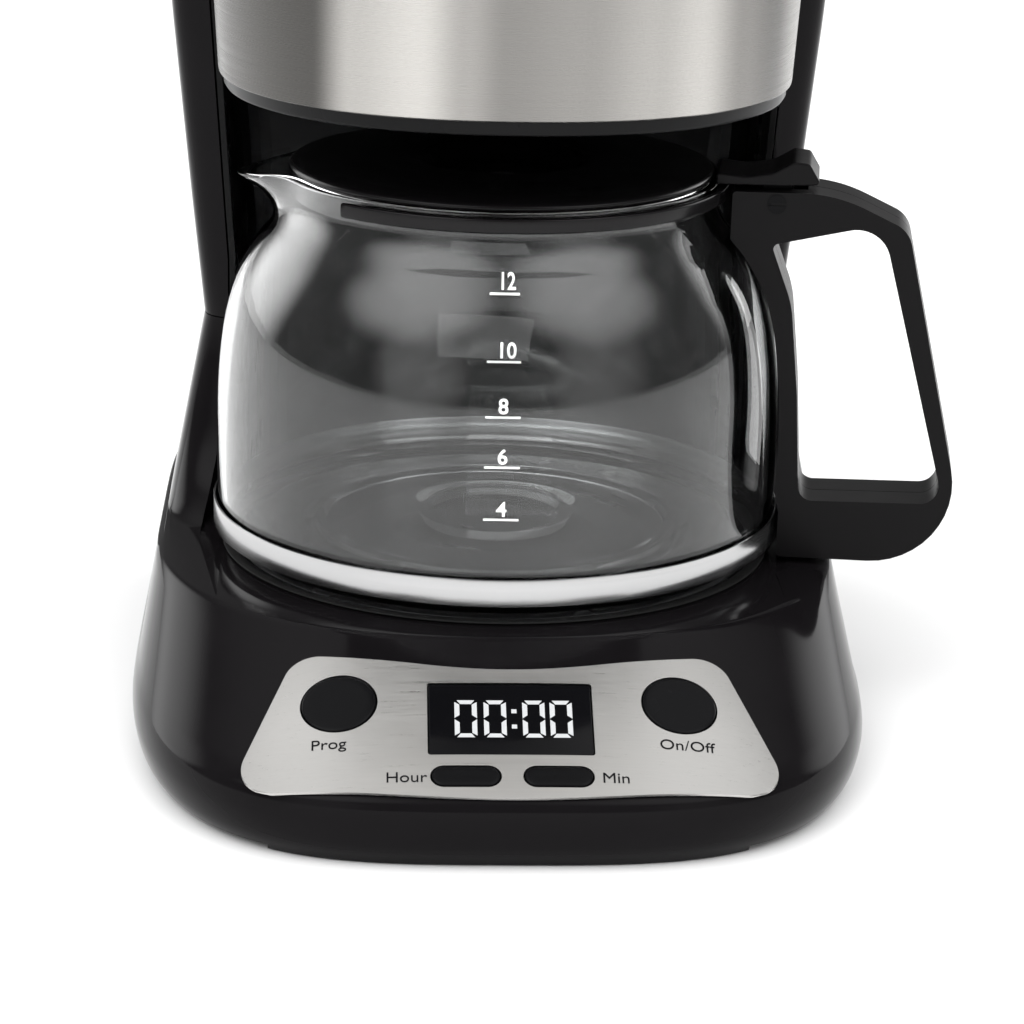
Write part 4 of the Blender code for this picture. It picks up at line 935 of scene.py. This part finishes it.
def handle():
    """The two halves of the handle and the head of the lid's pin."""
    edge = rounded(HANDLE_EDGE, 12)
    side = [(77.0, 62.0), (77.1, 74.0), (77.0, 86.0), (76.3, 97.0), (74.6, 109.0), (71.6, 119.5),
            (66.9, 128.0), (61.8, 134.3)]
    edge += [(radius + 0.6, z) for radius, z in smooth_line(side, 3)]
    for name, node, low, high in (("handle_near", "handle_front", 0.15, HANDLE_HALF),
                                  ("handle_far", "handle_rear", -HANDLE_HALF, -0.15)):
        half = slab(name, [edge, rounded(HANDLE_WINDOW, 12)], low, high, handle_lay)
        slot = rounded([(65.5, 139.6, 1), (82.5, 139.6, 1), (82.5, 170, 1), (65.5, 170, 1)])
        cut(half, slab("lug_slot", [slot], -5.5, 5.5, handle_lay))
        bm = bmesh.new()
        bm.from_mesh(half.data)
        bevel = bm.edges.layers.float.new("bevel_weight_edge")
        for item in bm.edges:
            offs = [abs((Matrix.Rotation(-HANDLE_TURN, 3, "Z") @ (v.co - AXIS)).y / MM) for v in item.verts]
            sharp = item.is_manifold and item.calc_face_angle(0.0) > math.radians(40.0)
            if sharp and min(offs) > HANDLE_HALF - 0.1:
                item[bevel] = 1.0
            elif sharp:
                item[bevel] = 0.12
        bm.to_mesh(half.data)
        bm.free()
        edge_step = half.modifiers.new("edge", "BEVEL")
        edge_step.width = 2.6 * MM
        edge_step.segments = 5
        edge_step.limit_method = "WEIGHT"
        edge_step.use_clamp_overlap = True
        dress(half, "carafe", SATIN, [node])
    head_low = handle_lay((LID_PIVOT[0], LID_PIVOT[1], 10.4))
    head_high = handle_lay((LID_PIVOT[0], LID_PIVOT[1], 11.3))
    head = rod("pin_head", 2.6, head_low, head_high, 40)
    x, y, z = head_high
    cut(head, block("pin_slot", (x - 3.0, y - 0.5, z - 0.35), (x + 3.0, y + 0.5, z + 0.35)))
    dress(head, "carafe", BUTTON_LOOK, edge=0.2)


def carafe_lid():
    """The lid's dished crown and its thumb lever."""
    crown = [(3.0, 147.4), (17.0, 147.6), (19.4, 148.4), (21.4, 150.8), (23.4, 152.1), (28.0, 152.8),
             (38.0, 152.7), (46.0, 152.2), (52.0, 151.6), (56.6, 150.8), (57.4, 150.1), (57.4, 149.1),
             (55.4, 149.1), (55.2, 141.5), (53.4, 141.5), (53.2, 148.0), (24.6, 149.2), (20.0, 146.0),
             (17.0, 145.4), (3.0, 145.2)]
    dress(turned_piece("lid_crown", soft(crown, 0.7, 3), 144), "carafe_lid_body", LID_LOOK,
          ["carafe_lid"])
    lever = slab("lid_lever", [rounded(LEVER_EDGE, 8)], -10.4, 10.4, handle_lay)
    rho = LID_PIVOT[0]
    eye = [(rho + 4.2, 150.0), (rho - 4.2, 150.0)] + arc(LID_PIVOT, 4.2, 180, 360, 24)
    cut(lever, slab("eye", [eye], -5.0, 5.0, handle_lay), "UNION")
    dress(lever, "carafe_lid_body", SATIN, ["thumb_lever"], 1.0, 4)


# ---------------------------------------------------------------- CAD nodes that stay

KEPT_LOOKS = {
    "base_plate": DARK, "bay_liner": DARK, "brew_basket": DARK, "drip_plunger": DARK, "shower_head": DARK,
    "foot_front_left": RUBBER, "foot_front_right": RUBBER, "foot_rear_left": RUBBER, "foot_rear_right": RUBBER,
    "cord_gland": RUBBER, "water_window": GLASS_LOOK, "heater_tube": ALUMINIUM, "thermostat": STEEL_PLAIN,
    "riser_tube": STEEL_PLAIN, "swing_pin": STEEL_PLAIN, "swing_bracket": STEEL_PLAIN, "top_lid_pin": STEEL_PLAIN,
    "carafe_lid_pin": STEEL_PLAIN, "drip_spring": STEEL_PLAIN, "prog_switch": STEEL_PLAIN,
    "on_off_switch": STEEL_PLAIN, "hour_switch": STEEL_PLAIN, "min_switch": STEEL_PLAIN, "thermal_fuse": SILICONE,
    "check_valve": SILICONE, "cold_hose": SILICONE, "hot_hose": SILICONE, "drip_seal": SILICONE,
    "control_board": BOARD_LOOK, "reservoir": TANK_LOOK, "display_module": TANK_LOOK}


def dress_kept_nodes():
    for name, look in KEPT_LOOKS.items():
        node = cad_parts[name]
        for material_slot in node.material_slots:
            material_slot.material = look
        weld = node.modifiers.new("weld", "WELD")
        weld.merge_threshold = 0.00001
        bevel = node.modifiers.new("edge", "BEVEL")
        bevel.width = 0.25 * MM
        bevel.segments = 2
        bevel.limit_method = "ANGLE"
        bevel.angle_limit = math.radians(40.0)


# ---------------------------------------------------------------- studio

def stage():
    """A white floor, attached to no body."""
    bpy.ops.mesh.primitive_plane_add(size=12.0)
    floor = bpy.context.active_object
    floor.name = "studio_floor"
    look, nodes, links, shader = new_look("studio_white")
    noise = spread(nodes, links, 3.0)
    white = two_tone(nodes, links, noise, (0.93, 0.93, 0.93), (0.95, 0.95, 0.95))
    links.new(white, shader.inputs["Base Color"])
    shader.inputs["Roughness"].default_value = 0.9
    shader.inputs["Specular IOR Level"].default_value = 0.0
    floor.data.materials.append(look)


def softbox(name, where, target, size, energy):
    """A lamp that lights surfaces but has no mirror image of its own."""
    lamp = bpy.data.lights.new(name, "AREA")
    lamp.shape = "RECTANGLE"
    lamp.size, lamp.size_y = size
    lamp.energy = energy
    obj = bpy.data.objects.new(name, lamp)
    bpy.context.scene.collection.objects.link(obj)
    obj.location = Vector(where)
    obj.rotation_mode = "QUATERNION"
    obj.rotation_quaternion = (Vector(target) - Vector(where)).to_track_quat("-Z", "Y")
    obj.visible_glossy = False


def sky_patch(nodes, links, ray, total, bearing, height, core, spread_to, strength):
    """Add a soft bright patch to the surroundings, at a bearing from the front towards the handle's side."""
    bearing, height = math.radians(bearing), math.radians(height)
    toward = (math.sin(bearing) * math.cos(height), -math.cos(bearing) * math.cos(height), math.sin(height))
    dot = nodes.new("ShaderNodeVectorMath")
    dot.operation = "DOT_PRODUCT"
    dot.inputs[1].default_value = toward
    links.new(ray, dot.inputs[0])
    patch = nodes.new("ShaderNodeMapRange")
    patch.interpolation_type = "SMOOTHSTEP"
    patch.inputs["From Min"].default_value = math.cos(math.radians(spread_to))
    patch.inputs["From Max"].default_value = math.cos(math.radians(core))
    patch.inputs["To Min"].default_value = 0.0
    patch.inputs["To Max"].default_value = strength
    links.new(dot.outputs["Value"], patch.inputs["Value"])
    add = nodes.new("ShaderNodeMath")
    add.operation = "ADD"
    links.new(total, add.inputs[0])
    links.new(patch.outputs["Result"], add.inputs[1])
    return add.outputs["Value"]


def studio():
    """The floor, the soft surroundings and two lamps."""
    stage()
    world = bpy.data.worlds.new("studio")
    world.use_nodes = True
    nodes, links = world.node_tree.nodes, world.node_tree.links
    where = nodes.new("ShaderNodeTexCoord")
    cloud = nodes.new("ShaderNodeTexNoise")
    cloud.inputs["Scale"].default_value = 3.0
    cloud.inputs["Detail"].default_value = 3.0
    links.new(where.outputs["Generated"], cloud.inputs["Vector"])
    total = scaled(nodes, links, cloud.outputs["Fac"], 0.24, 0.32)
    for patch in ((-50, 48, 8, 34, 2.6), (48, 48, 8, 34, 2.2), (180, 76, 10, 44, 0.9), (-128, 14, 4, 26, 3.2),
                  (126, 14, 4, 26, 3.2), (-35, 10, 4, 24, 0.7), (40, 8, 4, 24, 0.6)):
        total = sky_patch(nodes, links, where.outputs["Generated"], total, *patch)
    shade = nodes["Background"]
    shade.inputs["Color"].default_value = (1.0, 1.0, 1.0, 1.0)
    links.new(total, shade.inputs["Strength"])
    bpy.context.scene.world = world
    softbox("top_box", (0.0, -0.2, 2.4), (0.0, -0.1, 0.0), (4.0, 4.0), 32.0)
    softbox("front_box", (-0.3, -1.8, 1.1), (0.0, 0.0, 0.1), (1.4, 1.0), 8.0)
    bpy.context.scene.view_settings.view_transform = "Standard"


def camera():
    """A long lens a little left of the middle, looking down."""
    turn, pitch, roll = math.radians(-2.9), math.radians(17.25), math.radians(1.35)
    ahead = Vector((-math.sin(turn) * math.cos(pitch), math.cos(turn) * math.cos(pitch), -math.sin(pitch)))
    right = Vector((math.cos(turn), math.sin(turn), 0.0))
    up = right.cross(ahead)
    right, up = right * math.cos(roll) + up * math.sin(roll), up * math.cos(roll) - right * math.sin(roll)
    lens = bpy.data.cameras.new("camera")
    lens.sensor_width = 36.0
    lens.lens = 116.16
    lens.clip_start = 0.05
    obj = bpy.data.objects.new("camera", lens)
    bpy.context.scene.collection.objects.link(obj)
    place = Matrix((right, up, -ahead)).transposed().to_4x4()
    obj.matrix_world = Matrix.Translation(spot((-39.77, -878.87, 324.72))) @ place
    bpy.context.scene.camera = obj


camera()
studio()
base_shell()
column_shell()
steel_front()
holder_shell()
head_cap_shell()
top_lid_shell()
hot_plate()
panel_sheet()
button_caps()
display()
panel_words()
carafe_glass()
glass_marks()
carafe_trim()
handle()
carafe_lid()
dress_kept_nodes()

bpy.context.view_layer.update()
